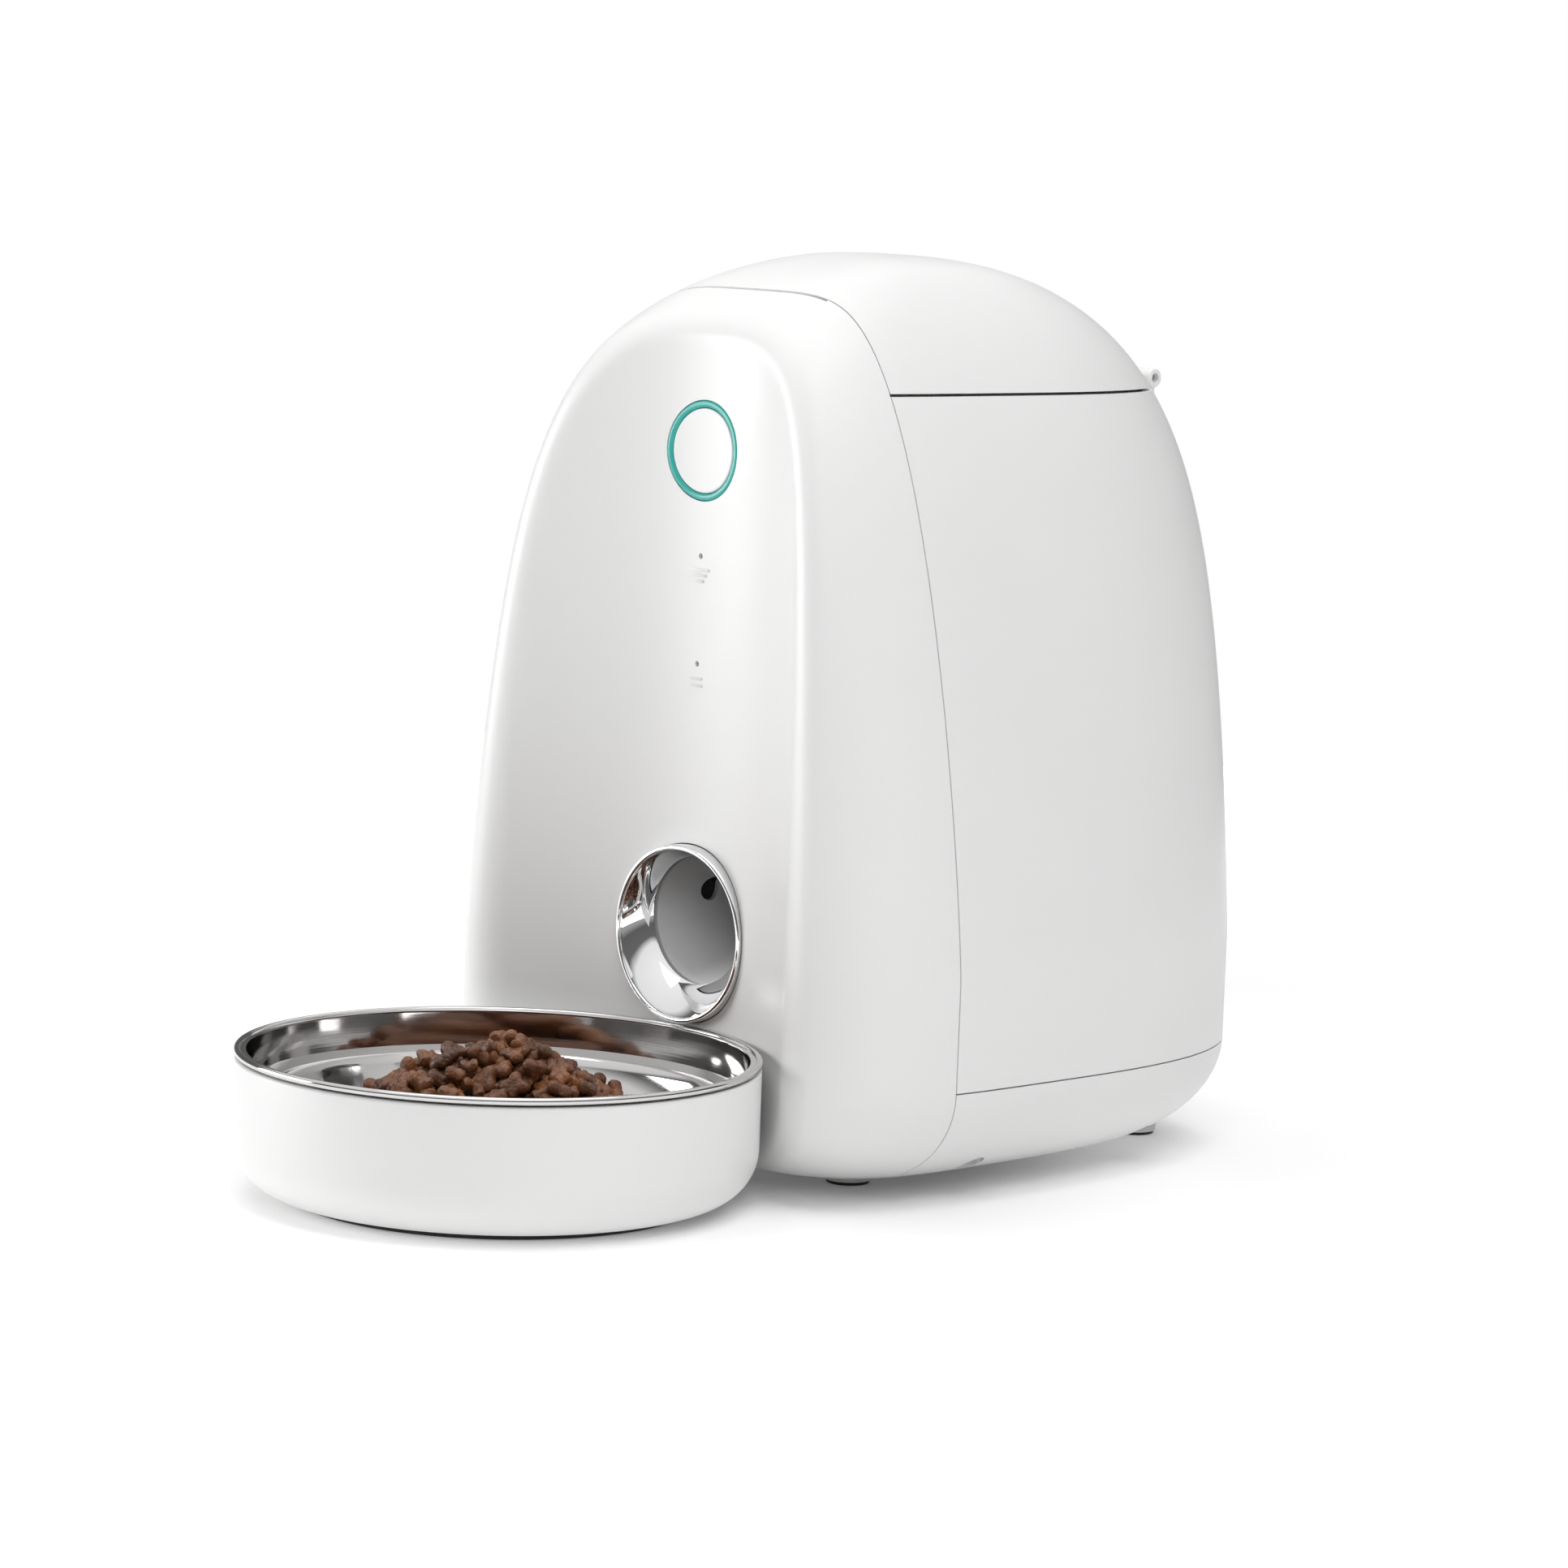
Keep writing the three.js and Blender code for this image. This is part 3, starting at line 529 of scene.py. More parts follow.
def front_shell():
    """The hollow front, with holes for what looks through it and a notch at the lid's edge."""
    made = shell("front_shell", (-FAR, FRONT_EDGE), (-FAR, FAR))
    holes = [
        (RING_R + GAP, OUTLET_Z, 96),
        (LIGHT_RING_R + RING_PLAY, BUTTON_Z, 96),
        (PINHOLE_R, MIC_Z, 24),
        (PINHOLE_R, LEVEL_Z, 24),
    ]
    for radius, z, count in holes:
        combine(made, bar("y", radius, *THROUGH_FRONT, (0, 0, z), count), "DIFFERENCE")
    notch_y = (FRONT_EDGE - NOTCH_DEEP, SHELL_SEAM_Y + 1)
    combine(made, box((-NOTCH_HALF, NOTCH_HALF), notch_y, (NOTCH_Z, HEIGHT + 1)), "DIFFERENCE")
    shade_by_field(made, SURFACES)
    return finish_piece(made, "front_shell_skin", "housing", "white_plastic", "front_shell")


SOUND_Z, SOUND_HOLE_R = 76, 1.3
# The radius of each ring of sound holes and how many holes it has.
SOUND_RINGS = ((0, 1), (6, 6), (12, 12))
THROUGH_BACK = (200, 230)


def rear_housing():
    """The back and sides between base and lid, with sound holes for the speaker."""
    made = shell("rear", BEHIND, (BASE_SEAM_Z + SEAM / 2, LID_SEAM_Z - LID_SEAM / 2))
    for ring, count in SOUND_RINGS:
        for i in range(count):
            angle = 2 * math.pi * i / count
            centre = (ring * math.cos(angle), 0, SOUND_Z + ring * math.sin(angle))
            combine(made, bar("y", SOUND_HOLE_R, *THROUGH_BACK, centre, 16), "DIFFERENCE")
    shade_by_field(made, SURFACES)
    return finish_piece(made, "rear_housing_skin", "housing", "white_plastic", "rear_housing")


BATTERY_X, BATTERY_Y = 52.5, (70.0, 147.0)
SCREW_POCKETS = {
    "left_front": (-86, 48),
    "right_front": (86, 48),
    "left_rear": (-78, 140),
    "right_rear": (78, 140),
}
POCKET_TOP, BOSS_TOP = 20.0, 26.0
BOSS_R, POCKET_R, SHANK_HOLE_R = 5.6, 4.2, 1.9
# Each pocket runs on outwards, by this much and with this radius.
RUN_OUT, RUN_OUT_R = 3.5, 4.0
JACK_Z, JACK_R = 26.0, 5.7


def base():
    """The tub, with a boss and pocket for each screw, the battery bay and the inlet's hole."""
    made = shell("base_tub", BEHIND, (-FAR, BASE_SEAM_Z - SEAM / 2))
    for x, y in SCREW_POCKETS.values():
        boss = bar("z", BOSS_R, 0, BOSS_TOP, (x, y, 0), 32)
        combine(boss, outer_solid, "INTERSECT", keep_tool=True)
        combine(made, boss, "UNION")
        out_x = x + math.copysign(RUN_OUT, x)
        combine(made, bar("z", POCKET_R, 0, POCKET_TOP, (x, y, 0), 40), "DIFFERENCE")
        combine(made, bar("z", RUN_OUT_R, 0, POCKET_TOP, (out_x, y, 0), 40), "DIFFERENCE")
        combine(made, bar("z", SHANK_HOLE_R, 0, BOSS_TOP + 1, (x, y, 0), 20), "DIFFERENCE")
    combine(made, box((-BATTERY_X, BATTERY_X), BATTERY_Y, (0, 10)), "DIFFERENCE")
    combine(made, bar("y", JACK_R + GAP, 190, THROUGH_BACK[1], (0, 0, JACK_Z), 40), "DIFFERENCE")
    shade_by_field(made, SURFACES)
    return finish_piece(made, "base_skin", "housing", "white_plastic", "base")


def lid():
    """The dome behind the seam, closed by a wall along its front edge."""
    above = (LID_SEAM_Z + LID_SEAM / 2, FAR)
    made = shell("lid_dome", BEHIND, above)
    wall = copy_of(outer_solid, "lid_wall")
    combine(wall, box((-FAR, FAR), (BEHIND[0], BEHIND[0] + WALL), above), "INTERSECT")
    combine(made, wall, "UNION")
    shade_by_field(made, SURFACES)
    return finish_piece(made, "lid_skin", "lid", "white_plastic", "lid")


front_shell()
rear_housing()
base()
lid()


# ---------- hinge ----------


def knuckle(name, low, high, root_y, root_z, body_name):
    """A barrel with rounded rims, run out to a root on its shell, bored for the pin."""
    axis, edge, web_inset = (0, HINGE_Y, HINGE_Z), 0.5, 0.6
    made = bar("x", KNUCKLE_R, low, high, axis, 40, edge)
    web = box((low + web_inset, high - web_inset), (root_y, HINGE_Y + edge), root_z)
    combine(made, web, "UNION")
    combine(made, bar("x", PIN_BORE_R, low - 1, high + 1, axis, 32), "DIFFERENCE")
    smooth(made)
    return finish_piece(made, name, body_name, "white_plastic")


LOWER_ROOT = (187.0, (258, 262.4))
LID_ROOT = (184.0, (265.0, 268.6))
knuckle("hinge_knuckle_left", -HINGE_HALF, -KNUCKLE_SPLIT, *LOWER_ROOT, "housing")
knuckle("hinge_knuckle_right", KNUCKLE_SPLIT, HINGE_HALF, *LOWER_ROOT, "housing")
knuckle("lid_knuckle", -KNUCKLE_SPLIT + GAP, KNUCKLE_SPLIT - GAP, *LID_ROOT, "lid")


# ---------- front controls ----------


def hollow_face(x):
    """The y of the hollow front at a distance from the middle."""
    return -HOLLOW_R + np.sqrt(HOLLOW_R**2 - np.asarray(x) ** 2)


def faced_disc(name, radius, inner_radius, back_y, proud, edge):
    """A disc or ring whose face follows the hollow front, with its rims rounded."""
    steps = 5
    rings = []

    def ring(r, drop):
        a, b = circle(r, 128)
        return np.column_stack([a, hollow_face(a) - proud + drop, BUTTON_Z + b])

    def back(r):
        a, b = circle(r, 128)
        return np.column_stack([a, np.full(len(a), back_y), BUTTON_Z + b])

    if inner_radius:
        rings.append(back(inner_radius))
        for i in range(steps + 1):
            turn = math.pi / 2 * i / steps
            inner_r = inner_radius + edge * (1 - math.cos(turn))
            rings.append(ring(inner_r, edge * (1 - math.sin(turn))))
    else:
        rings += [ring(r, 0.0) for r in np.linspace(ON_AXIS, radius - edge, 10)]
    for i in range(steps + 1):
        turn = math.pi / 2 * i / steps
        rings.append(ring(radius - edge * (1 - math.sin(turn)), edge * (1 - math.cos(turn))))
    rings.append(back(radius))
    if not inner_radius:
        rings.append(back(ON_AXIS))
    return smooth(loft(name, rings[::-1], closed=bool(inner_radius)), 40)


cap = faced_disc("cap", BUTTON_R, 0.0, 5.0, proud=0.0, edge=0.5)
finish_piece(cap, "button_cap", "button", "white_plastic", "button")
band = faced_disc("ring", LIGHT_RING_R, BUTTON_R + 0.2, 4.5, proud=0.15, edge=0.9)
finish_piece(band, "light_ring_band", "housing", "teal_plastic", "light_ring")


def embossed(name, outline, height):
    """A shallow raised mark on the hollow front from an outline of (x, z) points."""
    outline = np.asarray(outline, float)
    soft = 0.12
    middle = outline.mean(0)
    shrunk = middle + (outline - middle) * (1 - soft)
    rings = []
    for points, rise in ((outline, -0.3), (outline, height * 0.6), (shrunk, height)):
        y = hollow_face(points[:, 0]) - rise
        rings.append(np.column_stack([points[:, 0], y, points[:, 1]]))
    return smooth(loft(name, rings), 60)


def pill(centre, length, width, count=10):
    """A short bar with round ends, lying along x, as an outline."""
    half = length / 2 - width / 2
    ends = arc((centre[0] + half, centre[1]), (width / 2, width / 2), -90, 90, count)
    ends += arc((centre[0] - half, centre[1]), (width / 2, width / 2), 90, 270, count)
    return ends


# Plain bars stand for the small raised marks under the two pin holes.
MARK_WIDTH, MARK_RISE = 1.0, 0.55
MIC_MARKS, MIC_MARK_DROP, MIC_MARK_PITCH = (9.0, 6.4, 3.8), 4.6, 1.9
LEVEL_MARKS, LEVEL_MARK_DROP, LEVEL_MARK_PITCH = (5.8, 5.8), 4.8, 2.4


def marks(name, lengths, top_z, pitch):
    """A column of raised bars below a pin hole."""
    for i, length in enumerate(lengths):
        made = embossed("mark", pill((0, top_z - pitch * i), length, MARK_WIDTH), MARK_RISE)
        finish_piece(made, f"{name}_{i + 1}", "housing", "white_plastic")


marks("mic_mark", MIC_MARKS, MIC_Z - MIC_MARK_DROP, MIC_MARK_PITCH)
marks("level_mark", LEVEL_MARKS, LEVEL_Z - LEVEL_MARK_DROP, LEVEL_MARK_PITCH)


# ---------- food outlet ----------


def chute_ring():
    """A rounded bright lip and a straight funnel that narrows towards a higher centre."""
    lip, sag, wall = 0.95, 0.35, 1.6
    back_y, funnel_y, throat_y = 1.5, 4.2, 4.6
    profile = [(RING_R, back_y)]
    profile += arc((RING_R - lip, RING_LIP_Y + lip), (lip, lip), 0, -180, 10)
    mouth = RING_R - 2 * lip
    throat_r = TUNNEL_R + 0.3
    start, end = (mouth - 0.6, RING_LIP_Y + lip + 0.5), (throat_r + 0.3, funnel_y)
    for share in np.linspace(0, 1, 9):
        bow = sag * math.sin(math.pi * share)
        profile.append(tuple(a * (1 - share) + b * share - bow for a, b in zip(start, end)))
    profile += [(throat_r, throat_y), (throat_r + wall, throat_y), (RING_R - 2.4, back_y)]
    rise = TUNNEL_Z - OUTLET_Z
    centres = []
    for radius, _ in profile:
        inward = np.clip((mouth - radius) / (mouth - throat_r), 0, 1)
        centres.append((0, 0, OUTLET_Z + rise * inward))
    made = turned("ring", profile, "y", centres, 160)
    smooth(made, 50)
    return finish_piece(made, "chute_ring_band", "housing", "chrome", "chute_ring")


def outlet_chute():
    """The white throat: a round mouth that eases into the square inlet under the wheel."""
    count, wall, mouth_y = 96, 1.8, 6.0
    inlet_y, inlet_z, half_x, half_y, power = 62, 90.7, 24, 18, 2 / 7
    angle = np.linspace(0, 2 * math.pi, count, endpoint=False)
    across, up = np.sin(angle), np.cos(angle)

    def mouth(r):
        return np.column_stack([r * across, np.full(count, mouth_y), TUNNEL_Z + r * up])

    def inlet(grow):
        x = (half_x + grow) * np.sign(across) * np.abs(across) ** power
        y = inlet_y - (half_y + grow) * np.sign(up) * np.abs(up) ** power
        return np.column_stack([x, y, np.full(count, inlet_z)])

    def between(a, b, shares):
        return [a * (1 - s) + b * s for s in shares]

    shares = np.linspace(0, 1, 26)
    rings = between(mouth(TUNNEL_R), inlet(0), shares)
    rings += between(mouth(TUNNEL_R + wall), inlet(wall), shares)[::-1]
    made = loft("chute", rings, closed=True)
    sensor_hole = bar("x", EYE_R + 0.3, -40, 40, (0, SENSOR_Y, EYE_Z), 40)
    combine(made, sensor_hole, "DIFFERENCE")
    smooth(made, 40)
    slot = "inner_plastic"
    return finish_piece(made, "outlet_throat", "housing", slot, "outlet_chute", look=THROAT)


def sensor_eye(node, low, high):
    """A dark round lens that looks across the throat through its hole."""
    made = bar("x", EYE_R, low, high, (0, SENSOR_Y, EYE_Z), 40, edge=0.6)
    return finish_piece(smooth(made), f"{node}_lens", "housing", "black_plastic", node)


chute_ring()
outlet_chute()
sensor_eye("outlet_emitter", -31.0, -24.4)
sensor_eye("outlet_receiver", 24.4, 31.0)


# ---------- bowl ----------


def bowl_shell():
    """The white outer bowl, one wall thick, with a rounded bottom edge and rim."""
    low = BOWL_BOTTOM
    centre = (BOWL_R - BOWL_ROUND, low + BOWL_ROUND)
    rim = 1.1
    profile = [(ON_AXIS, low)]
    profile += arc(centre, (BOWL_ROUND, BOWL_ROUND), -90, 0, 20)
    profile += arc((BOWL_R - rim, BOWL_HEIGHT - rim), (rim, rim), 0, 90, 5)
    profile += [(BOWL_R - WALL, BOWL_HEIGHT)]
    profile += arc(centre, (BOWL_ROUND - WALL, BOWL_ROUND - WALL), 0, -90, 16)
    profile += [(ON_AXIS, low + WALL)]
    made = turned("bowl", profile, "z", (BOWL_X, BOWL_Y, 0), 192, closed=False)
    smooth(made, 40)
    return finish_piece(made, "bowl_shell_skin", "bowl", "white_plastic", "bowl_shell")


def steel_bowl():
    """A pressed liner: a rolled rim, a short wall, a shallow step and a wide curve down."""
    sheet, floor = 0.8, 7.2
    rim = BOWL_HEIGHT + GAP
    top, step_z, step_r = BOWL_R - 3.2, rim - 11, 77.0
    curve = 38.0
    middle = (step_r - 0.6 - curve, floor + curve)
    bead = (BOWL_R - 0.9, rim + BEAD_R + 0.35)
    steep = math.degrees(math.asin((step_z - 1.2 - middle[1]) / curve))
    profile = [(ON_AXIS, floor)]
    profile += arc(middle, (curve, curve), -90, steep, 20)
    profile += [(step_r, step_z - 0.5), (top - 1.2, step_z + 0.4), (top - 0.6, step_z + 1.2)]
    profile += [(top, rim)]
    profile += arc(bead, (BEAD_R, BEAD_R), -115, 165, 20)
    profile += arc((top - sheet - 0.5, rim + 1.3), (0.9, 0.9), 35, -8, 5)
    profile += [(top - sheet - 0.5, step_z + 1.4), (top - sheet - 1.2, step_z + 1.1)]
    profile += [(step_r - sheet, step_z + 0.3)]
    profile += arc(middle, (curve - sheet, curve - sheet), steep, -90, 20)
    profile += [(ON_AXIS, floor + sheet)]
    made = turned("steel", profile, "z", (BOWL_X, BOWL_Y, 0), 256, closed=False)
    smooth(made, 50)
    return finish_piece(made, "steel_bowl_pressing", "bowl", "polished_steel", "steel_bowl")


def bowl_foot_ring():
    """A flat rubber ring under the bowl, with round edges."""
    inner_r, outer_r = 60, 66
    half = (BOWL_BOTTOM - GAP) / 2
    profile = arc((inner_r + half, half), (half, half), 90, 270, 6)
    profile += arc((outer_r - half, half), (half, half), -90, 90, 6)
    made = smooth(turned("foot_ring", profile, "z", (BOWL_X, BOWL_Y, 0), 128), 40)
    return finish_piece(made, "bowl_foot_band", "bowl", "foot_rubber", "bowl_foot_ring")


bowl_shell()
steel_bowl()
bowl_foot_ring()


# ---------- underside, power inlet and lid fittings ----------

FEET = {
    "left_front": (-51.4, 28.6),
    "right_front": (51.4, 28.6),
    "left_rear": (-46.0, 178.0),
    "right_rear": (46.0, 178.0),
}
FOOT_R, PAD_TOP = 8.0, 1.1
# The rear feet are longer, because the underside curves up where they stand.
FRONT_LEG_TOP, REAR_LEG_TOP = 5.2, 11.0


def foot(corner, x, y):
    """A short white leg that grows out of the base, standing on a dark rubber pad."""
    top = REAR_LEG_TOP if corner.endswith("rear") else FRONT_LEG_TOP
    leg = [(ON_AXIS, PAD_TOP), (FOOT_R - 0.5, PAD_TOP), (FOOT_R, PAD_TOP + 0.5)]
    leg += [(FOOT_R + 0.5, top - 1), (FOOT_R + 0.6, top), (ON_AXIS, top)]
    made = turned("leg", leg, "z", (x, y, 0), 48, closed=False)
    finish_piece(smooth(made), f"foot_leg_{corner}", "housing", "white_plastic")
    pad = [(ON_AXIS, 0.0)]
    pad += arc((FOOT_R - 1.3, 0.5), (0.5, 0.5), -90, 0, 5)
    pad += [(FOOT_R - 0.8, PAD_TOP - 0.15), (ON_AXIS, PAD_TOP - 0.15)]
    made = turned("pad", pad, "z", (x, y, 0), 48, closed=False)
    node = f"foot_{corner}"
    finish_piece(smooth(made), f"foot_pad_{corner}", "housing", "foot_rubber", node)


def screw(corner, x, y):
    """A pan-head screw at the top of its pocket, with a cross recess."""
    low, head_r, shank_r = POCKET_TOP - 2.3, 3.3, 1.4
    neck, shoulder, end = low + 2, low + 17, low + 18
    recess_long, recess_half, recess_deep = 2.1, 0.45, 1.1
    head = [(ON_AXIS, low)]
    head += arc((head_r - 1.5, low + 1.2), (1.5, 1.2), -90, 0, 6)
    head += [(head_r, neck), (shank_r, neck), (shank_r, shoulder), (0.6, end), (ON_AXIS, end)]
    made = turned("screw", head, "z", (x, y, 0), 40, closed=False)
    for across, along_y in ((recess_long, recess_half), (recess_half, recess_long)):
        recess_z = (low - 1, low + recess_deep)
        slot = box((x - across, x + across), (y - along_y, y + along_y), recess_z)
        combine(made, slot, "DIFFERENCE")
    node = f"base_screw_{corner}"
    finish_piece(smooth(made), f"{node}_detail", "housing", "steel", node)


def rounded_plan(half_x, low_y, high_y, corner, height, count=12):
    """One ring of an upright panel with round corners."""
    points = []
    for x, y, start in (
        (half_x - corner, high_y - corner, 0),
        (-half_x + corner, high_y - corner, 90),
        (-half_x + corner, low_y + corner, 180),
        (half_x - corner, low_y + corner, 270),
    ):
        points += arc((x, y), (corner, corner), start, start + 90, count)
    return np.column_stack([np.asarray(points), np.full(len(points), height)])


def battery_cover():
    """A thin panel with rounded edges, five finger grooves and one screw hole."""
    half_x, low_y, high_y = BATTERY_X + 2.5, BATTERY_Y[0] - 3, BATTERY_Y[1] + 5
    low, high, edge, corner = 1.8, UNDERSIDE - GAP, 0.7, 6.0
    grooves, pitch, groove_wide, groove_deep, half_groove = 5, 3.2, 1.2, 0.7, 12
    rings = []
    for turn in np.linspace(0, math.pi / 2, 6):
        inset = edge * (1 - math.sin(turn))
        z = low + edge * (1 - math.cos(turn))
        rings.append(
            rounded_plan(half_x - inset, low_y + inset, high_y - inset, corner - inset, z)
        )
    rings.append(rounded_plan(half_x, low_y, high_y, corner, high))
    made = loft("cover", rings)
    combine(made, bar("z", 2, 0, 10, (0, high_y - 2.5, 0), 24), "DIFFERENCE")
    for i in range(grooves):
        y, half = low_y + 8 + pitch * i, half_groove - i
        groove = box((-half, half), (y, y + groove_wide), (0, low + groove_deep))
        combine(made, groove, "DIFFERENCE")
    smooth(made)
    finish_piece(made, "battery_cover_panel", "housing", "white_plastic", "battery_cover")


def power_jack():
    """The round inlet in the back: a sleeve with a rounded mouth and one pin."""
    back, floor, face = 191, 194, 206.6
    bore, pin_r, pin_end = 3.2, 1.0, 205
    profile = [(ON_AXIS, back), (JACK_R, back)]
    profile += arc((JACK_R - 0.7, face - 0.7), (0.7, 0.7), 0, 90, 5)
    profile += arc((bore + 0.4, face - 0.4), (0.4, 0.4), 90, 180, 4)
    profile += [(bore, floor), (pin_r, floor)]
    profile += arc((0.4, 204.4), (0.6, 0.6), 0, 90, 4)
    profile += [(ON_AXIS, pin_end)]
    made = smooth(turned("jack", profile, "y", (0, 0, JACK_Z), 64, closed=False))
    finish_piece(made, "power_jack_inlet", "housing", "black_plastic", "power_jack")


def desiccant_box():
    """The round holder inside the lid: a rounded rim, a shallow recess and four air slots."""
    radius, low, high, edge = 26.0, 280.0, 294.0, 1.6
    recess_r, recess_z, slot_half, slot_deep = radius - 4.2, low + 1.2, 1.2, 4
    profile = [(ON_AXIS, recess_z), (recess_r, recess_z), (recess_r, low + 0.3)]
    profile += arc((radius - edge, low + edge), (edge, edge), -90, 0, 6)
    profile += [(radius, high), (ON_AXIS, high)]
    made = turned("holder", profile, "z", (0, WIDEST_Y, 0), 96, closed=False)
    for x, half_y in ((-13, 13), (-6.5, 16), (6.5, 16), (13, 13)):
        slot_y = (WIDEST_Y - half_y, WIDEST_Y + half_y)
        slot = box((x - slot_half, x + slot_half), slot_y, (low, low + slot_deep))
        combine(made, slot, "DIFFERENCE")
    finish_piece(smooth(made), "desiccant_holder", "lid", "inner_plastic", "desiccant_box")


for where, spot in FEET.items():
    foot(where, *spot)
for where, spot in SCREW_POCKETS.items():
    screw(where, *spot)
battery_cover()
power_jack()
desiccant_box()


# ---------- dry food, staged for the view ----------


AROUND, OVER = 25, 9
TURN = np.linspace(0, 2 * math.pi, AROUND, endpoint=False)
TIP = np.linspace(-math.pi / 2, math.pi / 2, OVER)[:, None]


def nugget(rng, lobes, size, thick):
    """The points of one rough star- or clover-like piece of dry food."""
    deep = rng.uniform(0.2, 0.28)
    edge = 1 + deep * np.cos(lobes * TURN) + 0.06 * np.cos(2 * TURN + rng.uniform(0, 6))
    spread = np.cos(TIP) ** 0.55
    dimple = 1 - 0.35 * np.exp(-((spread * edge) ** 2) * 5)
    points = np.stack(
        [
            size * spread * edge * np.cos(TURN),
            size * spread * edge * np.sin(TURN),
            thick * np.sin(TIP) * dimple,
        ],
        axis=-1,
    )
    points = points + rng.normal(0, 0.13, points.shape)
    points[0], points[-1] = points[0].mean(0), points[-1].mean(0)
    return points.reshape(-1, 3)


def nugget_faces():
    """The quads between one nugget's rings of points, by number."""
    faces = []
    for i in range(OVER - 1):
        for j in range(AROUND):
            k = (j + 1) % AROUND
            low, high = i * AROUND, (i + 1) * AROUND
            faces.append((low + j, low + k, high + k, high + j))
    return np.array(faces)


def tumbled(rng, tilt):
    """A turn about any axis, most of them lying flat."""
    a, b, c = rng.uniform(0, 2 * math.pi), rng.normal(0, tilt), rng.normal(0, tilt)
    about_z = np.array([[math.cos(a), -math.sin(a), 0], [math.sin(a), math.cos(a), 0], [0, 0, 1]])
    about_x = np.array([[1, 0, 0], [0, math.cos(b), -math.sin(b)], [0, math.sin(b), math.cos(b)]])
    about_y = np.array([[math.cos(c), 0, math.sin(c)], [0, 1, 0], [-math.sin(c), 0, math.cos(c)]])
    return about_x @ about_y @ about_z


def dry_food():
    """A heap of nuggets on the steel floor. It isn't part of the object."""
    rng = np.random.default_rng(11)
    middle = np.array([BOWL_X - 1, BOWL_Y + 1, 8.4])
    heap_r, heap_h, apart, tries = 74.0, 41.5, 5.5, 14000
    placed, points, faces = np.empty((0, 3)), [], []
    pattern = nugget_faces()
    for _ in range(tries):
        angle, r = rng.uniform(0, 2 * math.pi), heap_r * math.sqrt(rng.uniform(0, 1))
        height = heap_h * (1 - (r / heap_r) ** 1.6) * (1 + 0.06 * math.sin(3 * angle + 1))
        height -= rng.choice([0.0, 4.0]) + rng.uniform(0, 1.5)
        spot = np.array([r * math.cos(angle), r * math.sin(angle), max(height, 3.0)])
        if len(placed) and np.min(np.linalg.norm(placed - spot, axis=1)) < apart:
            continue
        placed = np.vstack([placed, spot])
        lobes = rng.choice([3, 4, 5, 5])
        shape = nugget(rng, lobes, rng.uniform(3.5, 4.5), rng.uniform(2.2, 2.8))
        faces.append(pattern + AROUND * OVER * len(points))
        points.append(shape @ tumbled(rng, 0.6).T + spot + middle)
    made = new_object("dry_food", np.concatenate(points), np.concatenate(faces))
    smooth(made, 60)
    look = Look("dry_food", Roughness=0.33)
    tone = look.noise(55.0, 3.0)
    browns = [(0.3, (0.05, 0.018, 0.007)), (0.5, (0.15, 0.056, 0.022)), (0.72, (0.29, 0.12, 0.05))]
    look.link(look.ramp(tone, browns), "Base Color")
    crumb = look.noise(700.0, 5.0)
    look.link(look.bump(crumb, strength=0.9, distance=0.0008), "Normal")
    made.data.materials.append(look.material)
    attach(made, "bowl")


dry_food()


# ---------- studio ----------


# The point in metres that every light aims at.
AIM = (0, 0, 0.13)


def softbox(name, azimuth, elevation, distance, size, power, in_mirrors):
    """A soft square light that aims at the object. Azimuth 0 is in front, 90 to its right."""
    light = bpy.data.lights.new(name, "AREA")
    light.shape = "RECTANGLE"
    light.size, light.size_y = size
    light.energy = power
    a, e = math.radians(azimuth), math.radians(elevation)
    toward = Vector((math.sin(a) * math.cos(e), -math.cos(a) * math.cos(e), math.sin(e)))
    holder = bpy.data.objects.new(name, light)
    holder.location = Vector(AIM) + toward * distance
    holder.rotation_euler = (-toward).to_track_quat("-Z", "Y").to_euler()
    holder.visible_camera = False
    holder.visible_glossy = in_mirrors
    bpy.context.scene.collection.objects.link(holder)


# name, azimuth, elevation, metres away, size in metres, watts, seen in reflections
SOFTBOXES = [
    ("key_low", -55, 8, 2.0, (1.2, 0.8), 20.5, True),
    ("front_right", 45, 30, 2.2, (1.2, 1.2), 10.5, False),
    ("rim", -135, 35, 2.0, (1.2, 1.2), 1.6, True),
    ("top", 0, 89, 1.9, (1.6, 1.6), 13.0, True),
    ("top_left", -90, 60, 2.0, (1.4, 1.4), 9.1, False),
    ("top_right", 90, 60, 2.0, (1.4, 1.4), 19.7, False),
]


# The reflected room's grey, from the horizon at 0 to straight up at 1.
ROOM_GREYS = [(0.0, 0.35), (0.12, 0.12), (0.42, 0.14), (0.56, 0.85), (1.0, 1.0)]


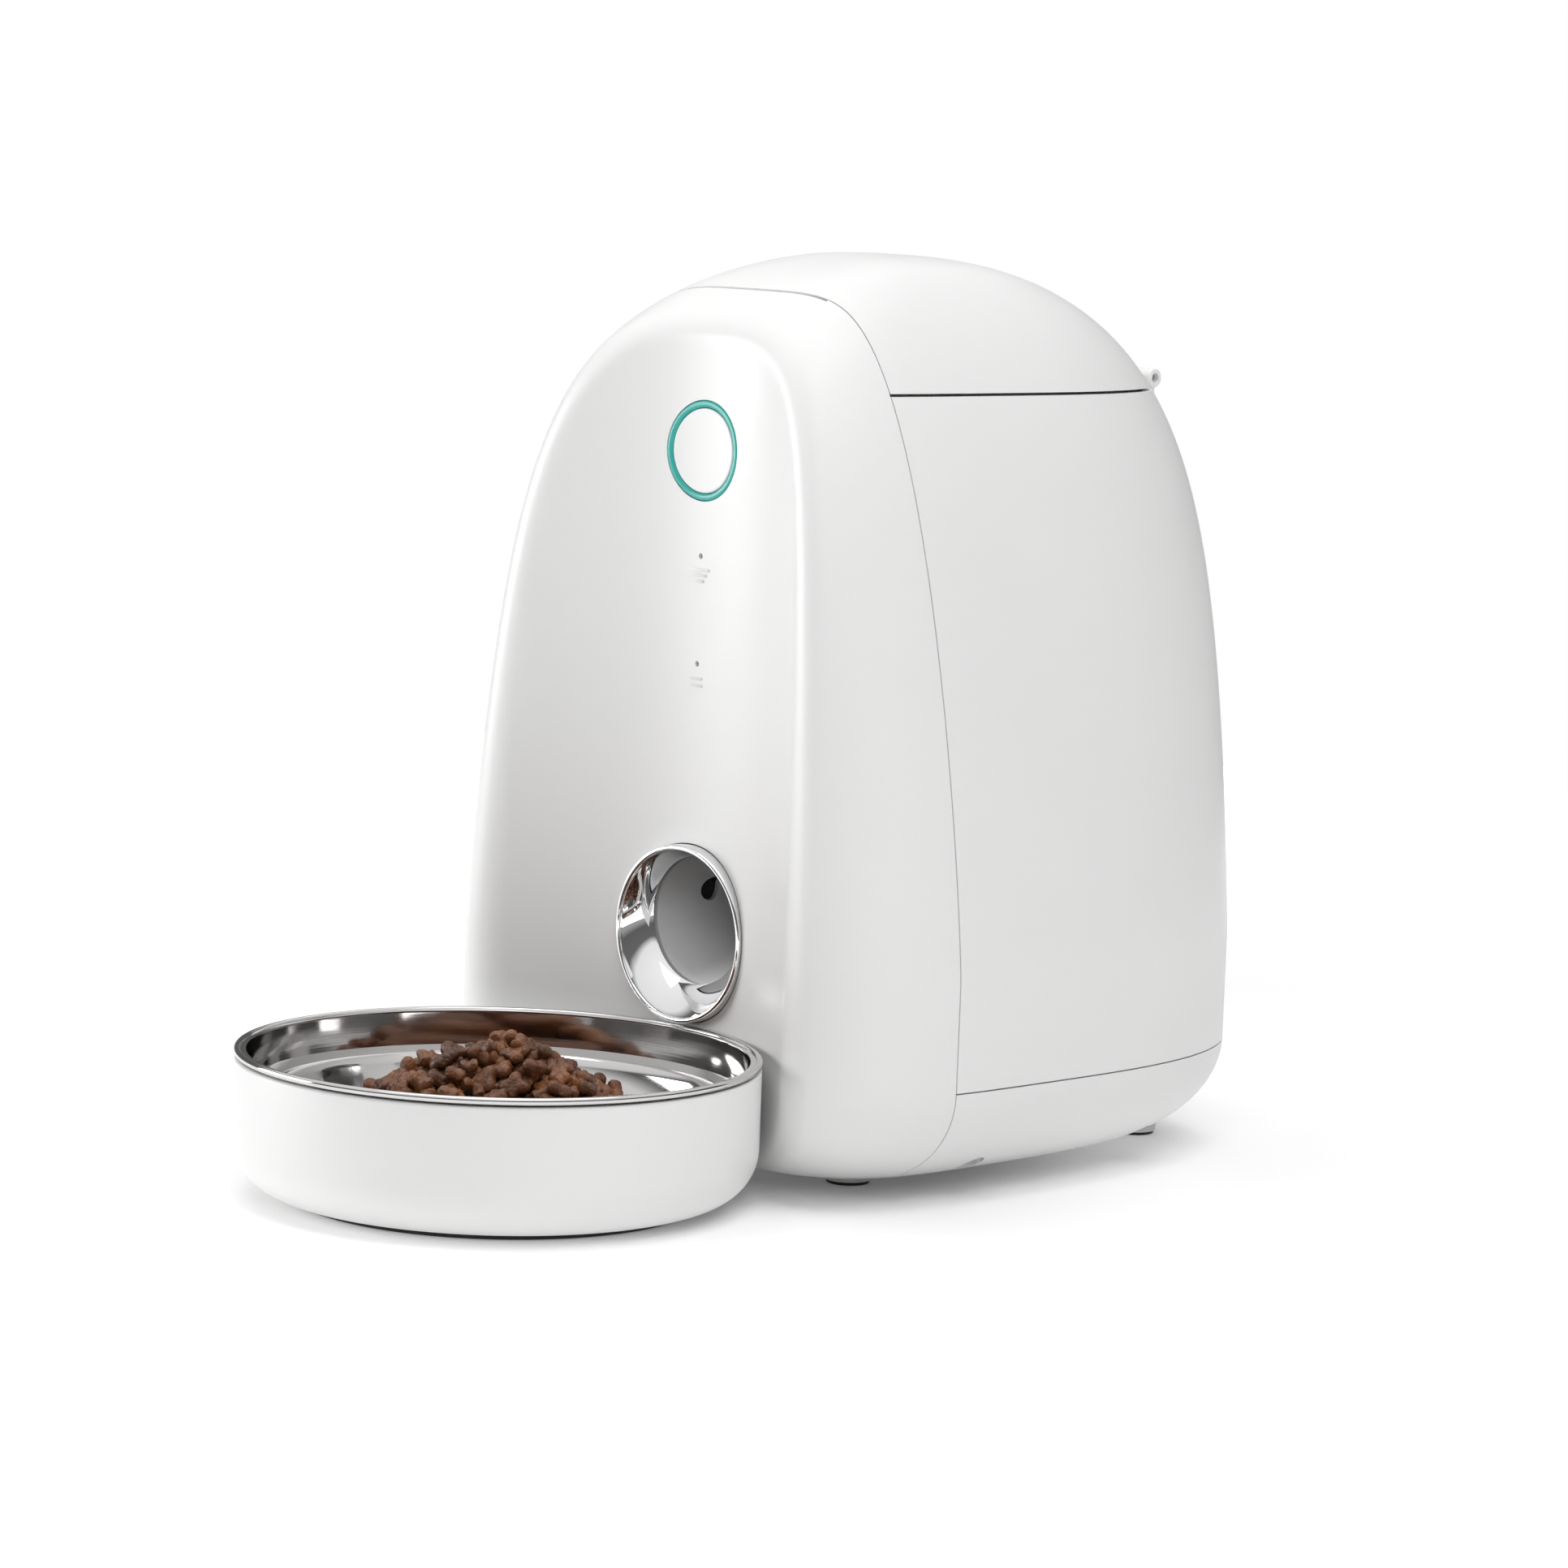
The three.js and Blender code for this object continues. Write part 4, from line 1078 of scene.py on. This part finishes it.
def studio_world():
    """Plain white to look at, no light of its own, and a soft grey room for reflections."""
    world = bpy.data.worlds.new("studio")
    bpy.context.scene.world = world
    world.use_nodes = True
    tree = world.node_tree
    backdrop = tree.nodes["Background"]
    path = tree.nodes.new("ShaderNodeLightPath")
    where = tree.nodes.new("ShaderNodeTexCoord")
    split = tree.nodes.new("ShaderNodeSeparateXYZ")
    room = tree.nodes.new("ShaderNodeValToRGB")
    tree.links.new(where.outputs["Generated"], split.inputs[0])
    tree.links.new(split.outputs["Z"], room.inputs["Fac"])
    elements = room.color_ramp.elements
    while len(elements) < len(ROOM_GREYS):
        elements.new(0.5)
    for element, (place, grey) in zip(elements, ROOM_GREYS):
        element.position = place
        element.color = (grey, grey, grey, 1)
    in_mirror = tree.nodes.new("ShaderNodeMath")
    in_mirror.operation = "MULTIPLY"
    tree.links.new(path.outputs["Is Glossy Ray"], in_mirror.inputs[0])
    tree.links.new(room.outputs["Color"], in_mirror.inputs[1])
    total = tree.nodes.new("ShaderNodeMath")
    total.operation = "MAXIMUM"
    tree.links.new(path.outputs["Is Camera Ray"], total.inputs[0])
    tree.links.new(in_mirror.outputs[0], total.inputs[1])
    tree.links.new(total.outputs[0], backdrop.inputs["Strength"])
    backdrop.inputs["Color"].default_value = (1, 1, 1, 1)


FLOOR_R, FLOOR_SIDES = 1250.0, 128
# The floor's glow: metres from the middle where a step starts and ends, and its low and high.
# Both steps are painted light on the floor; the first keeps the glow low right round the object, a
# painted shadow there.
GLOW_STEPS = ((0.07, 0.17, 0.05, 0.21), (0.45, 1.05, 0.0, 0.95))


def studio():
    """A round floor whose glow, painted light that lightens its shadows, grows with distance and
    leaves a painted shadow near the middle; the room and the lights.
    """
    across, back = circle(FLOOR_R, FLOOR_SIDES)
    floor = new_object("floor", np.column_stack([across, back, 0 * across]), [range(FLOOR_SIDES)])
    look = Look("floor_paper", Roughness=0.9)
    look.shader.inputs["Base Color"].default_value = (0.9, 0.9, 0.9, 1)
    look.shader.inputs["Emission Color"].default_value = (1, 1, 1, 1)
    away = look.node("VectorMath", {0: look.where}, operation="LENGTH").outputs["Value"]
    steps = []
    for start, end, low, high in GLOW_STEPS:
        limits = {"From_Min": start, "From_Max": end, "To_Min": low, "To_Max": high}
        step = look.node("MapRange", {"Value": away}, interpolation_type="SMOOTHSTEP", **limits)
        steps.append(step.outputs["Result"])
    glow = look.node("Math", {0: steps[0], 1: steps[1]}, operation="ADD")
    look.link(glow.outputs["Value"], "Emission Strength")
    floor.data.materials.append(look.material)
    studio_world()
    for settings in SOFTBOXES:
        softbox(*settings)
    bpy.context.scene.view_settings.view_transform = "Standard"


CAMERA_PLACE = (1258.1, -1212.5, 346.2)
CAMERA_AHEAD = (-0.70252, 0.70107, -0.12234)
CAMERA_ROLL = 0.0372
LENS_MM, SENSOR_MM = 121.1, 36.0


def camera():
    """The photograph's view: a long lens, slightly above, turned 45 degrees, rolled a little."""
    data = bpy.data.cameras.new("camera")
    data.lens = LENS_MM
    data.sensor_width = SENSOR_MM
    data.sensor_fit = "HORIZONTAL"
    data.clip_end = 50.0
    holder = bpy.data.objects.new("camera", data)
    bpy.context.scene.collection.objects.link(holder)
    place = Vector(to_frame([CAMERA_PLACE])[0])
    turn = Vector(CAMERA_AHEAD).to_track_quat("-Z", "Y").to_matrix()
    turn = turn @ Matrix.Rotation(CAMERA_ROLL, 3, "Z")
    holder.matrix_world = Matrix.Translation(place) @ turn.to_4x4()
    bpy.context.scene.camera = holder


for tool in (outer_solid, whole_skin):
    bpy.data.objects.remove(tool)
studio()
camera()
